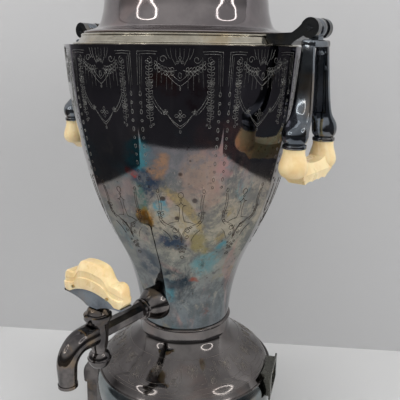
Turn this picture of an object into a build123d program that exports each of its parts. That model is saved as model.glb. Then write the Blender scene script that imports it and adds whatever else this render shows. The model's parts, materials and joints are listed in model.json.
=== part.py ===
from build123d import *
import os
from math import cos, hypot, pi, radians, sin

os.makedirs("parts", exist_ok=True)

# Electric coffee urn with a tap, millimetres.
# The urn's axis is Z and the floor is z = 0. The tap points along -Y, the handles stand at +X and -X.

# Heights of the stacked main forms
leg_clearance = 24.0
skirt_height = 43.0
dome_height = 43.0
body_height = 201.0
collar_height = 7.0
skirt_bottom = leg_clearance
rim_height = skirt_bottom + skirt_height
seam_height = rim_height + dome_height
shoulder = seam_height + body_height
collar_top = shoulder + collar_height

# Sheet metal and fits
sheet = 1.2
seat_gap = 0.3
fit_gap = 0.06
side_gap = 0.35

# Body: ten panels, radii measured at the creases
panel_count = 10
shoulder_radius = 85.6
neck_radius = 34.0
panel_fullness = 0.35
neck_fullness = 0.95
mouth_radius = 72.0
floor_thickness = 1.6

# The crease line's points: share of the body's height, share of the way from neck to shoulder radius
crease_points = [
    (0.0, 0.0),
    (0.085, 0.04),
    (0.17, 0.116),
    (0.255, 0.24),
    (0.38, 0.48),
    (0.50, 0.662),
    (0.65, 0.819),
    (0.82, 0.937),
    (1.0, 1.0),
]
section_count = 14
flattening_height = 60.0

# Collar and lid
collar_foot_radius = 77.4
collar_base_radius = 74.8
collar_rim_radius = 70.2
lid_opening_radius = 66.3
lid_foot_radius = 69.6
lid_waist_radius = 55.4
lid_height = 53.2
lid_spigot_depth = 11.0
lid_spigot_gap = 0.6
knob_hole_radius = 19.6
knob_ring_radius = 26.0
knob_ring_height = 3.0
glass_radius = 20.8
glass_height = 24.0
glass_wall = 2.6
glass_neck_depth = 6.0

# Base dome and skirt
dome_collar_radius = 35.2
dome_collar_height = 8.5
rim_radius = 67.5
rim_bead_radius = 1.1
skirt_bulge_radius = 70.4
skirt_foot_radius = 60.0
skirt_lip = 5.0

# Heater below the body floor
heater_neck_radius = 15.0
heater_neck_height = 9.0
heater_flange_radius = 26.0
heater_flange = 3.0
well_radius = 11.2
well_wall = 1.3
well_depth = 43.0
element_radius = 17.5
can_depth = 42.0
terminal_radius = 2.0
terminal_length = 10.0
terminal_reach = 16.0
terminal_spread = 7.0
stud_radius = 2.5
clamp_nut_slot = 4.0
vent_length = 12.0
vent_width = 3.0
base_nut_flats = 9.0
base_nut_height = 4.0
clamp_nut_radius = 20.5
clamp_nut_height = 5.0
gasket_thickness = 1.0

# Current inlet, turned from the tap toward the right handle
inlet_turn = 112.0
inlet_reach = 72.6
inlet_width = 27.0
inlet_height = 18.6
inlet_center_height = 62.3
inlet_root = 54.0
inlet_flange_width = 35.4
inlet_flange_height = 20.8
inlet_block_depth = 7.0
inlet_recess = 11.5
pin_radius = 2.3
pin_shank_radius = 1.8
pin_spacing = 14.0
pin_tail = 11.0
lead_radius = 1.3
lead_drop = 18.0

# Feet
foot_turns = [-60.0, 60.0, 180.0]
foot_reach = 83.0
foot_shaft = 9.5
foot_shaft_width = 11.0
foot_cuff_width = 18.0
foot_cuff_top = 63.0
foot_cuff_bottom = 42.0
foot_pad_radius = 8.0
foot_pad_height = 3.2
rivet_radius = 1.5
rivet_head_radius = 2.8

# Tap
tap_height = 129.0
valve_reach = 91.3
boss_base_radius = 12.6
boss_end_radius = 6.9
boss_end_reach = 50.0
tap_thread_radius = 4.8
tap_tube_flats = 10.4
tap_bore_radius = 3.0
valve_top_radius = 7.9
valve_bottom_radius = 5.9
valve_rise = 10.5
valve_drop = 9.0
valve_flange_gap = 0.25
plug_top_radius = 5.2
plug_bottom_radius = 4.2
spout_root_radius = 8.0
spout_radius = 5.7
spout_bore_radius = 3.8
spout_outlet_depth = 8.0
spout_reach = 118.3
spout_bend = 14.0
spout_drop = 26.0
bonnet_radius = 9.2
bonnet_height = 11.9
ball_radius = 7.5
ball_neck_length = 2.2
ball_ring = 0.7
ball_neck_radius = 5.0
key_neck_radius = 3.2
key_stem_radius = 2.6
key_stem_length = 14.0
tap_washer = 1.6

# Tap lever, shown closed, square to the spout
lever_turn = 0.0
lever_half_length = 27.5
lever_width = 13.6
lever_end_radius = 6.6
lever_waist_width = 11.0
lever_thickness = 24.6
lever_end_thickness = 14.6
lever_arch_half = 20.5
lever_arch_rise = 5.6
lever_pin_rise = 4.8
hub_height = 3.05
hub_grasp = 3.0
spine_rise = 12.0
wing_half_length = 26.2
wing_width = 9.5
wing_hub_radius = 4.8
spine_width = 3.0
lever_pin_radius = 1.0
lever_pin_spread = 15.6

# Handles
hinge_reach = 98.0
hinge_height = shoulder + 10.8
hinge_pin_radius = 2.0
knuckle_radius = 5.7
knuckle_half_width = 5.2
ear_radius = 5.8
ear_half_width = 9.6
bridge_half_width = 11.8
bridge_depth = 8.4
bridge_height = 4.6
arm_drop = 44.5
arm_spread = 20.0
arm_top_spread = 9.1
arm_thickness = 5.4
arm_top_depth = 7.6
arm_bottom_depth = 14.4
arm_rim = 1.6
arm_recess = 1.3
knuckle_neck = 6.4
boss_radius = 8.0
boss_height = 11.0
groove_radius = 6.0
groove_height = 0.8
ferrule_radius = 7.2
ferrule_height = 2.8
grip_stub_radius = 6.7
grip_bulge_radius = 8.9
grip_drop = 23.2
grip_end_drop = 17.2
grip_bar_height = 13.0
grip_saddle = 5.0
grip_scallop_radius = 12.0
grip_scallop_depth = 1.8
grip_scallop_pitch = 8.6
grip_bar_depth = 15.0
grip_stud_radius = 2.0
grip_stud_length = 20.0
bracket_root = 71.0
bracket_root_half_width = 13.0
hinge_clearance = 0.4

# Pump: stem, foot, basket and spreader
stem_radius = 3.5
stem_bore_radius = 2.5
stem_top = 381.0
pump_foot_radius = 10.4
pump_foot_height = 14.0
pump_port_radius = 2.2
basket_radius = 40.0
basket_wall = 0.8
basket_depth = 36.0
basket_bottom = 270.0
basket_hole_radius = 1.4
basket_ring_width = 2.5
basket_ring_height = 2.0
spreader_lip = 3.0
basket_hole_rings = [(14.0, 6), (23.0, 12), (32.0, 16)]
spreader_hole_rings = [(16.0, 6), (29.0, 12)]

# Places worked out from the sizes above
floor_top = seam_height + floor_thickness
valve_top = tap_height + valve_rise
valve_bottom = tap_height - valve_drop
spout_tip_height = tap_height - spout_drop
flange_bottom = valve_top + valve_flange_gap
bonnet_top = flange_bottom + bonnet_height
nut_top = valve_bottom - valve_flange_gap - tap_washer
ball_shoulder = nut_top - ball_neck_length
ball_center_height = ball_shoulder - (ball_radius**2 - ball_neck_radius**2) ** 0.5
lever_bottom = bonnet_top + hub_height
lever_arch = lever_bottom + lever_arch_rise
lever_crest = lever_bottom + lever_thickness
lever_end_top = lever_bottom + lever_end_thickness
lever_pin_height = lever_bottom + lever_pin_rise
spine_top = lever_bottom + spine_rise
arm_bottom = shoulder - arm_drop
flange_top = seam_height - sheet
heater_flange_bottom = flange_top - heater_flange
can_bottom = heater_flange_bottom - can_depth
well_bottom = floor_top + heater_neck_height - well_depth
lid_foot = collar_top + seat_gap
lid_top = lid_foot + lid_height
ferrule_bottom = arm_bottom - boss_height - ferrule_height
grip_bottom = ferrule_bottom - grip_drop
grip_end_bottom = ferrule_bottom - grip_end_drop
bridge_top = hinge_height - ear_radius - hinge_clearance
rivet_heights = [foot_cuff_top - 6.0, foot_cuff_bottom + 7.0]


def toward(turn):
    """Unit direction at a turn, in degrees, from the tap toward the right handle."""
    return (sin(radians(turn)), -cos(radians(turn)), 0.0)


def radial_plane(turn):
    """Upright plane through the urn's axis: x runs outward at the turn, y runs up."""
    outward = Vector(*toward(turn))
    return Plane(origin=(0, 0, 0), x_dir=outward, z_dir=outward.cross(Vector(0, 0, 1)))


def plan_point(turn, reach, side=0.0):
    """Place in plan at a turn from the tap, a reach from the axis and a step to the side."""
    a = radians(turn)
    return (reach * sin(a) + side * cos(a), side * sin(a) - reach * cos(a))


def outward_plane(turn, reach, height):
    """Plane that faces outward at a reach from the urn's axis: x runs sideways, y runs up."""
    outward = Vector(*toward(turn))
    center = outward * reach + Vector(0, 0, height)
    return Plane(origin=center, x_dir=Vector(0, 0, 1).cross(outward), z_dir=outward)


def panel_outline(radius, fullness):
    """Ten shallow arcs between creases at the given radius, with one panel facing the tap."""
    half = pi / panel_count
    flat = radius * cos(half)
    middle = flat + (radius - flat) * fullness
    for k in range(panel_count):
        a = 2 * half * k - pi / 2
        ThreePointArc(
            (radius * cos(a - half), radius * sin(a - half)),
            (middle * cos(a), middle * sin(a)),
            (radius * cos(a + half), radius * sin(a + half)),
        )


def panel_sections(inset):
    """Height, crease radius and fullness of each body section, from the neck to the shoulder."""
    sections = []
    for k in range(section_count):
        point = crease_line @ (k / (section_count - 1))
        turned = min((point.Y - seam_height) / flattening_height, 1.0)
        fullness = neck_fullness + (panel_fullness - neck_fullness) * turned
        sections.append((point.Y, point.X - inset, fullness))
    return sections


def inside(points, wall):
    """A line's points moved to its right by the wall, square to the line through their neighbours."""
    moved = []
    for k, (x, y) in enumerate(points):
        x0, y0 = points[max(k - 1, 0)]
        x1, y1 = points[min(k + 1, len(points) - 1)]
        length = hypot(x1 - x0, y1 - y0)
        moved.append((x + wall * (y1 - y0) / length, y - wall * (x1 - x0) / length))
    return moved


def save(piece, name):
    """Label a finished piece and write it to its own file."""
    piece.part.label = name
    export_step(piece.part, f"parts/{name}.step")


# Crease line of the body, as height over radius
radius_span = shoulder_radius - neck_radius
crease_line = Spline(
    *[(neck_radius + radius_span * wide, seam_height + body_height * high) for high, wide in crease_points]
)

# Solid outer form of the body, used to cut what seats against it
with BuildPart() as body_form:
    for height, radius, fullness in panel_sections(0):
        with BuildSketch(Plane.XY.offset(height)):
            with BuildLine():
                panel_outline(radius, fullness)
            make_face()
    loft()

# Body: one drawn shell with ten soft panels, a flat floor and a flat top shoulder
with BuildPart() as body_shell:
    add(body_form.part)
    for height, radius, fullness in panel_sections(sheet):
        with BuildSketch(Plane.XY.offset(height)):
            with BuildLine():
                panel_outline(radius, fullness)
            make_face()
    loft(mode=Mode.SUBTRACT)
    with BuildSketch(Plane.XY.offset(seam_height)):
        Circle(neck_radius - sheet / 2)
        Circle(heater_neck_radius + seat_gap, mode=Mode.SUBTRACT)
    extrude(amount=floor_thickness)
    with BuildSketch(Plane.XY.offset(shoulder)):
        with BuildLine():
            panel_outline(shoulder_radius - sheet / 2, panel_fullness)
        make_face()
        Circle(mouth_radius, mode=Mode.SUBTRACT)
    extrude(amount=-sheet)
    with BuildSketch(outward_plane(0, 0, tap_height)):
        Circle(tap_thread_radius + fit_gap)
    extrude(amount=boss_end_reach, mode=Mode.SUBTRACT)
save(body_shell, "body_shell")

# Collar: a flat foot on the shoulder, a cone, and a flat rim that carries the lid
with BuildPart() as collar_ring:
    with BuildSketch(Plane.XZ):
        with BuildLine():
            Polyline(
                (collar_foot_radius, shoulder + sheet),
                (collar_base_radius, shoulder + sheet),
                (collar_rim_radius, collar_top),
                (lid_opening_radius, collar_top),
            )
            offset(amount=sheet, side=Side.LEFT)
        make_face()
    revolve(axis=Axis.Z)
save(collar_ring, "collar_ring")

# Solid form of the collar, used to cut the brackets that are soldered to it
with BuildPart() as collar_form:
    with BuildSketch(Plane.XZ):
        with BuildLine():
            Polyline(
                (0, shoulder - body_height / 4),
                (collar_foot_radius + body_height / 4, shoulder - body_height / 4),
                (collar_foot_radius + body_height / 4, shoulder),
                (collar_foot_radius, shoulder),
                (collar_foot_radius, shoulder + sheet),
                (collar_base_radius, shoulder + sheet),
                (collar_rim_radius, collar_top),
                (0, collar_top),
                close=True,
            )
        make_face()
    revolve(axis=Axis.Z)

# Lid: a bell of spun sheet with a flared foot
lid_points = [
    (knob_ring_radius + 1.0, lid_top),
    (lid_waist_radius - 12.0, lid_foot + lid_height * 0.90),
    (lid_waist_radius - 2.0, lid_foot + lid_height * 0.70),
    (lid_waist_radius, lid_foot + lid_height * 0.42),
    (lid_waist_radius + 1.5, lid_foot + lid_height * 0.24),
    (lid_waist_radius + 4.8, lid_foot + lid_height * 0.085),
    (lid_foot_radius, lid_foot + sheet),
]
with BuildPart() as lid_shell:
    with BuildSketch(Plane.XZ):
        with BuildLine():
            bell = Spline(*lid_points, tangents=[(1.0, 0.0), (1.0, -0.15)])
            bell_inside = Spline((lid_foot_radius - 2 * sheet, lid_foot), *inside(lid_points, sheet)[-2::-1])
            Polyline(bell @ 1, (lid_foot_radius, lid_foot), bell_inside @ 0)
            Polyline(
                bell_inside @ 1,
                (knob_hole_radius, lid_top - sheet),
                (knob_hole_radius, lid_top),
                bell @ 0,
            )
        make_face()
    revolve(axis=Axis.Z)
save(lid_shell, "lid_shell")

# Spigot: a ring soldered under the bell's foot that centres the lid in the collar
spigot_radius = lid_opening_radius - lid_spigot_gap
with BuildPart() as lid_spigot:
    with BuildSketch(Plane.XY.offset(lid_foot - lid_spigot_depth)):
        Circle(spigot_radius)
        Circle(spigot_radius - sheet, mode=Mode.SUBTRACT)
    extrude(amount=lid_spigot_depth + sheet)
    add(lid_shell.part, mode=Mode.SUBTRACT)
save(lid_spigot, "lid_spigot")

# Plated ring round the glass
with BuildPart() as knob_ring:
    with BuildSketch(Plane.XZ):
        with BuildLine():
            Polyline(
                (knob_hole_radius - 0.5, lid_top),
                (knob_ring_radius, lid_top),
                (knob_ring_radius, lid_top + knob_ring_height * 0.4),
                (knob_hole_radius + 2.4, lid_top + knob_ring_height),
                (knob_hole_radius - 0.5, lid_top + knob_ring_height),
                close=True,
            )
        make_face()
    revolve(axis=Axis.Z)
save(knob_ring, "knob_ring")

# Glass knob, where the brewing coffee shows
with BuildPart() as glass_knob:
    glass_neck_radius = knob_hole_radius - 0.5 - fit_gap
    glass_base = lid_top + knob_ring_height + fit_gap
    with BuildSketch(Plane.XZ):
        with BuildLine():
            neck_line = Polyline(
                (glass_neck_radius - glass_wall, lid_top - glass_neck_depth),
                (glass_neck_radius, lid_top - glass_neck_depth),
                (glass_neck_radius, glass_base),
                (glass_radius, glass_base),
                (glass_radius, glass_base + glass_height * 0.35),
            )
            crown = Spline(
                neck_line @ 1,
                (glass_radius * 0.72, glass_base + glass_height * 0.86),
                (0, glass_base + glass_height),
                tangents=[(0, 1), (-1, 0)],
            )
            Line(crown @ 1, (0, glass_base + glass_height - glass_wall))
            hollow = Spline(
                (0, glass_base + glass_height - glass_wall),
                (glass_radius * 0.72 - glass_wall * 0.8, glass_base + glass_height * 0.86 - glass_wall * 0.8),
                (glass_neck_radius - glass_wall, glass_base + glass_height * 0.35),
                tangents=[(1, 0), (0, -1)],
            )
            Line(hollow @ 1, neck_line @ 0)
        make_face()
    revolve(axis=Axis.Z)
save(glass_knob, "glass_knob")

# Base dome: flange under the body floor, short collar, then a flared and rounded dome to the rim
dome_points = [
    (dome_collar_radius, seam_height - dome_collar_height),
    (dome_collar_radius + 1.6, rim_height + dome_height * 0.70),
    (rim_radius * 0.62, rim_height + dome_height * 0.575),
    (rim_radius * 0.785, rim_height + dome_height * 0.375),
    (rim_radius * 0.92, rim_height + dome_height * 0.21),
    (rim_radius, rim_height),
]
dome_collar_top = dome_collar_radius - 0.8
with BuildPart() as base_dome:
    with BuildSketch(Plane.XZ):
        with BuildLine():
            dome_outside = Spline(*dome_points, tangents=[(0.1, -1.0), (0.2, -1.0)])
            dome_inside = Spline(
                (rim_radius - sheet, rim_height),
                *inside(dome_points, sheet)[-2::-1],
                tangents=[(-0.2, 1.0), (-0.1, 1.0)],
            )
            Line(dome_outside @ 1, dome_inside @ 0)
            Polyline(
                dome_inside @ 1,
                (dome_collar_top - sheet, seam_height - sheet),
                (heater_neck_radius + seat_gap, seam_height - sheet),
                (heater_neck_radius + seat_gap, seam_height),
                (dome_collar_top, seam_height),
                dome_outside @ 0,
            )
        make_face()
        with Locations((rim_radius + 0.3, rim_height + rim_bead_radius)):
            Circle(rim_bead_radius)
    revolve(axis=Axis.Z)
    with BuildSketch(outward_plane(inlet_turn, inlet_root - 4, inlet_center_height)):
        Rectangle(inlet_width + 2 * fit_gap, inlet_height + 2 * fit_gap)
    extrude(amount=inlet_reach, mode=Mode.SUBTRACT)
save(base_dome, "base_dome")

# Skirt: a bowed apron of sheet with an in-turned lip for the base plate
skirt_points = [
    (rim_radius, rim_height),
    (skirt_bulge_radius, skirt_bottom + skirt_height * 0.78),
    (skirt_bulge_radius - 0.9, skirt_bottom + skirt_height * 0.46),
    (skirt_bulge_radius - 4.0, skirt_bottom + skirt_height * 0.20),
    (skirt_foot_radius, skirt_bottom + sheet),
]
with BuildPart() as base_skirt:
    with BuildSketch(Plane.XZ):
        with BuildLine():
            skirt_outside = Spline(*skirt_points)
            skirt_inside = Spline(*inside(skirt_points, sheet)[::-1])
            Polyline(
                skirt_outside @ 1,
                (skirt_foot_radius, skirt_bottom),
                (skirt_foot_radius - skirt_lip, skirt_bottom),
                (skirt_foot_radius - skirt_lip, skirt_bottom + sheet),
                (skirt_foot_radius - 1.5 * sheet, skirt_bottom + sheet),
                skirt_inside @ 0,
            )
            Polyline(skirt_inside @ 1, (rim_radius - sheet, rim_height), skirt_outside @ 0)
        make_face()
    revolve(axis=Axis.Z)
    with BuildSketch(outward_plane(inlet_turn, inlet_root - 4, inlet_center_height)):
        Rectangle(inlet_width + 2 * fit_gap, inlet_height + 2 * fit_gap)
    extrude(amount=inlet_reach, mode=Mode.SUBTRACT)
    for turn in foot_turns:
        for height in rivet_heights:
            with BuildSketch(outward_plane(turn, skirt_foot_radius, height)):
                Circle(rivet_radius + fit_gap)
            extrude(amount=skirt_bulge_radius - skirt_foot_radius + sheet, mode=Mode.SUBTRACT)
save(base_skirt, "base_skirt")

# Solid form of the skirt, used to cut the feet that are riveted to it
with BuildPart() as skirt_form:
    with BuildSketch(Plane.XZ):
        with BuildLine():
            skirt_line = Spline(*skirt_points)
            Polyline(
                skirt_line @ 1,
                (skirt_foot_radius, skirt_bottom),
                (0, skirt_bottom),
                (0, rim_height),
                skirt_line @ 0,
            )
        make_face()
    revolve(axis=Axis.Z)

# Heater well: a threaded neck through the body floor, a flange, and a cup that the coils surround
with BuildPart() as heater_well:
    with BuildSketch(Plane.XZ):
        with BuildLine():
            Polyline(
                (well_radius, floor_top + heater_neck_height),
                (heater_neck_radius, floor_top + heater_neck_height),
                (heater_neck_radius, flange_top),
                (heater_flange_radius, flange_top),
                (heater_flange_radius, heater_flange_bottom),
                (well_radius + well_wall, heater_flange_bottom),
                (well_radius + well_wall, well_bottom - well_wall),
                (0, well_bottom - well_wall),
                (0, well_bottom),
                (well_radius, well_bottom),
                close=True,
            )
        make_face()
    revolve(axis=Axis.Z)
save(heater_well, "heater_well")

# Gasket and clamp nut on the floor inside the body
with BuildPart() as heater_gasket:
    with BuildSketch(Plane.XY.offset(floor_top)):
        Circle(clamp_nut_radius + 1.0)
        Circle(heater_neck_radius + fit_gap, mode=Mode.SUBTRACT)
    extrude(amount=gasket_thickness)
save(heater_gasket, "heater_gasket")

with BuildPart() as heater_clamp_nut:
    with BuildSketch(Plane.XY.offset(floor_top + gasket_thickness)):
        Circle(clamp_nut_radius)
        Circle(heater_neck_radius + fit_gap, mode=Mode.SUBTRACT)
    extrude(amount=clamp_nut_height)
    with BuildSketch(Plane.XY.offset(floor_top + gasket_thickness + clamp_nut_height)):
        with PolarLocations(clamp_nut_radius, 4):
            Rectangle(clamp_nut_slot, clamp_nut_slot)
    extrude(amount=-clamp_nut_height / 2, mode=Mode.SUBTRACT)
save(heater_clamp_nut, "heater_clamp_nut")

# Heating element: a wound band round the well
with BuildPart() as heating_element:
    band_bottom = well_bottom + 1.0
    band_height = heater_flange_bottom - band_bottom - 2.0
    band_turns = 7
    turn_pitch = band_height / band_turns
    with BuildSketch(Plane.XY.offset(band_bottom)):
        Circle(element_radius - turn_pitch / 4)
        Circle(well_radius + well_wall + fit_gap, mode=Mode.SUBTRACT)
    extrude(amount=band_height)
    for k in range(band_turns):
        with BuildSketch(Plane.XY.offset(band_bottom + turn_pitch * (k + 0.25))):
            Circle(element_radius)
            Circle(element_radius - turn_pitch / 2, mode=Mode.SUBTRACT)
        extrude(amount=turn_pitch / 2)
save(heating_element, "heating_element")

# Heater can: a cup that hangs from the flange, with the stud that draws the base plate up
with BuildPart() as heater_can:
    with BuildSketch(Plane.XZ):
        with BuildLine():
            Polyline(
                (heater_flange_radius, heater_flange_bottom),
                (heater_flange_radius - sheet, heater_flange_bottom),
                (heater_flange_radius - sheet, can_bottom + sheet),
                (0, can_bottom + sheet),
                (0, skirt_bottom - base_nut_height),
                (stud_radius, skirt_bottom - base_nut_height),
                (stud_radius, can_bottom),
                (heater_flange_radius, can_bottom),
                close=True,
            )
        make_face()
    revolve(axis=Axis.Z)
save(heater_can, "heater_can")

# Two terminal posts under the can
terminal_places = [
    plan_point(inlet_turn, terminal_reach, side) for side in (-terminal_spread, terminal_spread)
]
terminal_bottom = can_bottom - terminal_length
with BuildPart() as heater_terminals:
    with BuildSketch(Plane.XY.offset(can_bottom)):
        with Locations(*terminal_places):
            Circle(terminal_radius)
    extrude(amount=-terminal_length)
    with BuildSketch(Plane.XY.offset(can_bottom)):
        with Locations(*terminal_places):
            Circle(terminal_radius * 1.7)
    extrude(amount=-terminal_radius)
save(heater_terminals, "heater_terminals")

# Base plate and its nut
with BuildPart() as base_plate:
    plate_radius = skirt_foot_radius - 2 * sheet
    with BuildSketch(Plane.XY.offset(skirt_bottom + sheet)):
        Circle(plate_radius)
        Circle(stud_radius + fit_gap, mode=Mode.SUBTRACT)
        with PolarLocations(plate_radius * 0.62, 8):
            SlotOverall(vent_length, vent_width, mode=Mode.SUBTRACT)
    extrude(amount=sheet)
save(base_plate, "base_plate")

with BuildPart() as base_nut:
    with BuildSketch(Plane.XY.offset(skirt_bottom + sheet)):
        RegularPolygon(base_nut_flats / 2, 6, major_radius=False)
        Circle(stud_radius + fit_gap, mode=Mode.SUBTRACT)
    extrude(amount=-base_nut_height)
save(base_nut, "base_nut")

# Inlet housing: a rectangular sleeve through the skirt and dome, with a flange at its mouth
flange_plane = outward_plane(inlet_turn, inlet_reach, inlet_center_height)
with BuildPart() as inlet_housing:
    with BuildSketch(flange_plane):
        RectangleRounded(inlet_flange_width, inlet_flange_height, 1.2)
    extrude(amount=-sheet)
    with BuildSketch(flange_plane):
        Rectangle(inlet_width, inlet_height)
    extrude(amount=inlet_root - inlet_reach)
    with BuildSketch(flange_plane):
        RectangleRounded(inlet_width - 2 * sheet, inlet_height - 2 * sheet, 1.5)
    extrude(amount=inlet_root - inlet_reach, mode=Mode.SUBTRACT)
save(inlet_housing, "inlet_housing")

# Insulating block that carries the pins
block_face = inlet_reach - inlet_recess
block_plane = outward_plane(inlet_turn, block_face, inlet_center_height)
with BuildPart() as inlet_block:
    with BuildSketch(block_plane):
        RectangleRounded(inlet_width - 2 * sheet - fit_gap, inlet_height - 2 * sheet - fit_gap, 1.5)
        with GridLocations(pin_spacing, 0, 2, 1):
            Circle(pin_shank_radius + fit_gap, mode=Mode.SUBTRACT)
    extrude(amount=-inlet_block_depth)
save(inlet_block, "inlet_block")

# Two pins with round noses, shanks through the block and tails turned down to the leads
pin_tail_reach = block_face - inlet_block_depth - pin_tail
lug_bottom = inlet_center_height - 2 * pin_radius
lug_reach = pin_tail_reach + pin_radius
lug_places = [plan_point(inlet_turn, lug_reach, side) for side in (-pin_spacing / 2, pin_spacing / 2)]
with BuildPart() as inlet_pins:
    with BuildSketch(outward_plane(inlet_turn, inlet_reach - sheet, inlet_center_height)):
        with GridLocations(pin_spacing, 0, 2, 1):
            Circle(pin_radius)
    extrude(amount=block_face + seat_gap - inlet_reach + sheet)
    with BuildSketch(outward_plane(inlet_turn, block_face + seat_gap, inlet_center_height)):
        with GridLocations(pin_spacing, 0, 2, 1):
            Circle(pin_shank_radius)
    extrude(amount=pin_tail_reach - block_face - seat_gap)
    fillet(inlet_pins.faces().sort_by(Axis((0, 0, 0), toward(inlet_turn)))[-2:].edges(), pin_radius * 0.8)
    with BuildSketch(Plane.XY.offset(inlet_center_height)):
        with Locations(*lug_places):
            Circle(pin_radius)
    extrude(amount=lug_bottom - inlet_center_height)
save(inlet_pins, "inlet_pins")

# Two leads from the heater's terminals to the pins
with BuildPart() as heater_leads:
    for start, finish in zip(terminal_places, lug_places):
        low = terminal_bottom - lead_drop
        with BuildLine():
            FilletPolyline(
                (*start, terminal_bottom),
                (*start, low),
                (*finish, low),
                (*finish, lug_bottom),
                radius=lead_drop * 0.45,
            )
        with BuildSketch(Plane.XY.offset(terminal_bottom)):
            with Locations(start):
                Circle(lead_radius)
        sweep()
save(heater_leads, "heater_leads")

# Feet: cast brackets, a broad cuff against the skirt and a shaft that drops clear of it
foot_names = {-60.0: "foot_left", 60.0: "foot_right", 180.0: "foot_rear"}
shaft_inner = foot_reach - foot_shaft
for turn in foot_turns:
    with BuildPart() as foot:
        with BuildSketch(radial_plane(turn)):
            with BuildLine():
                shin = Spline(
                    (foot_reach - 1.6, foot_cuff_top - 9.0),
                    (foot_reach - 1.3, foot_cuff_bottom),
                    (foot_reach - 0.9, foot_cuff_bottom * 0.5),
                    (foot_reach + 1.2, foot_pad_height * 0.5),
                    tangents=[(0.0, -1.0), (0.3, -1.0)],
                )
                Polyline(
                    shin @ 1,
                    (shaft_inner - 1.0, foot_pad_height * 0.5),
                    (shaft_inner, foot_cuff_bottom * 0.45),
                    (shaft_inner, foot_cuff_top - 9.0),
                    shin @ 0,
                )
            make_face()
        extrude(amount=foot_shaft_width / 2, both=True)
        with BuildSketch(radial_plane(turn)):
            with BuildLine():
                cuff = Spline(
                    (shaft_inner + 0.5, foot_cuff_top),
                    (foot_reach - 1.8, foot_cuff_top - 5.5),
                    (foot_reach, foot_cuff_top - 14.0),
                    tangents=[(1.0, -0.3), (0.0, -1.0)],
                )
                Polyline(
                    cuff @ 1,
                    (foot_reach - 0.4, foot_cuff_bottom + 1.0),
                    (foot_reach - 1.4, foot_cuff_bottom),
                    (skirt_foot_radius, foot_cuff_bottom),
                    (skirt_foot_radius, foot_cuff_top),
                    cuff @ 0,
                )
            make_face()
        extrude(amount=foot_cuff_width / 2, both=True)
        add(skirt_form.part, mode=Mode.SUBTRACT)
        with BuildSketch(Plane.XY):
            with Locations(plan_point(turn, foot_reach - foot_shaft / 2)):
                Circle(foot_pad_radius)
        extrude(amount=foot_pad_height)
        for height in rivet_heights:
            with BuildSketch(outward_plane(turn, skirt_foot_radius, height)):
                Circle(rivet_radius + fit_gap)
            extrude(amount=skirt_bulge_radius + 4.0 - skirt_foot_radius, mode=Mode.SUBTRACT)
    save(foot, foot_names[turn])

# Foot rivets: two to a foot, their heads inside the skirt
rivet_end = skirt_bulge_radius + 4.0
with BuildPart() as foot_rivets:
    for turn in foot_turns:
        for height in rivet_heights:
            with BuildSketch(outward_plane(turn, skirt_bulge_radius - 2.5 * sheet, height)):
                Circle(rivet_head_radius)
            extrude(amount=2 * sheet)
    add(base_skirt.part, mode=Mode.SUBTRACT)
    for turn in foot_turns:
        for height in rivet_heights:
            with BuildSketch(outward_plane(turn, skirt_bulge_radius - 1.8 * sheet, height)):
                Circle(rivet_head_radius)
                Circle(rivet_radius, mode=Mode.SUBTRACT)
            extrude(amount=sheet * 1.8, mode=Mode.SUBTRACT)
            with BuildSketch(outward_plane(turn, skirt_bulge_radius - 2 * sheet, height)):
                Circle(rivet_radius)
            extrude(amount=rivet_end - skirt_bulge_radius + 2 * sheet - seat_gap)
save(foot_rivets, "foot_rivets")

# Tap boss: a flared socket soldered to the front panel
tap_axis = Axis((0, 0, tap_height), (0, -1, 0))
valve_axis = Axis((0, -valve_reach, 0), (0, 0, 1))
boss_root = neck_radius - 2.0
boss_bore = tap_height + tap_thread_radius + fit_gap
boss_end = tap_height + boss_end_radius
with BuildPart() as tap_boss:
    with BuildSketch(radial_plane(0)):
        with BuildLine():
            flare = Spline(
                (boss_root, tap_height + boss_base_radius),
                (neck_radius + 4.0, tap_height + boss_base_radius * 0.95),
                (neck_radius + 9.5, boss_end + 2.2),
                (boss_end_reach - 2.4, boss_end),
            )
            Polyline(
                flare @ 1,
                (boss_end_reach - 2.0, boss_end + 0.9),
                (boss_end_reach - 0.4, boss_end + 0.9),
                (boss_end_reach, boss_end + 0.5),
                (boss_end_reach, boss_bore),
                (boss_root, boss_bore),
                flare @ 0,
            )
        make_face()
    revolve(axis=tap_axis)
    add(body_form.part, mode=Mode.SUBTRACT)
save(tap_boss, "tap_boss")

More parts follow.
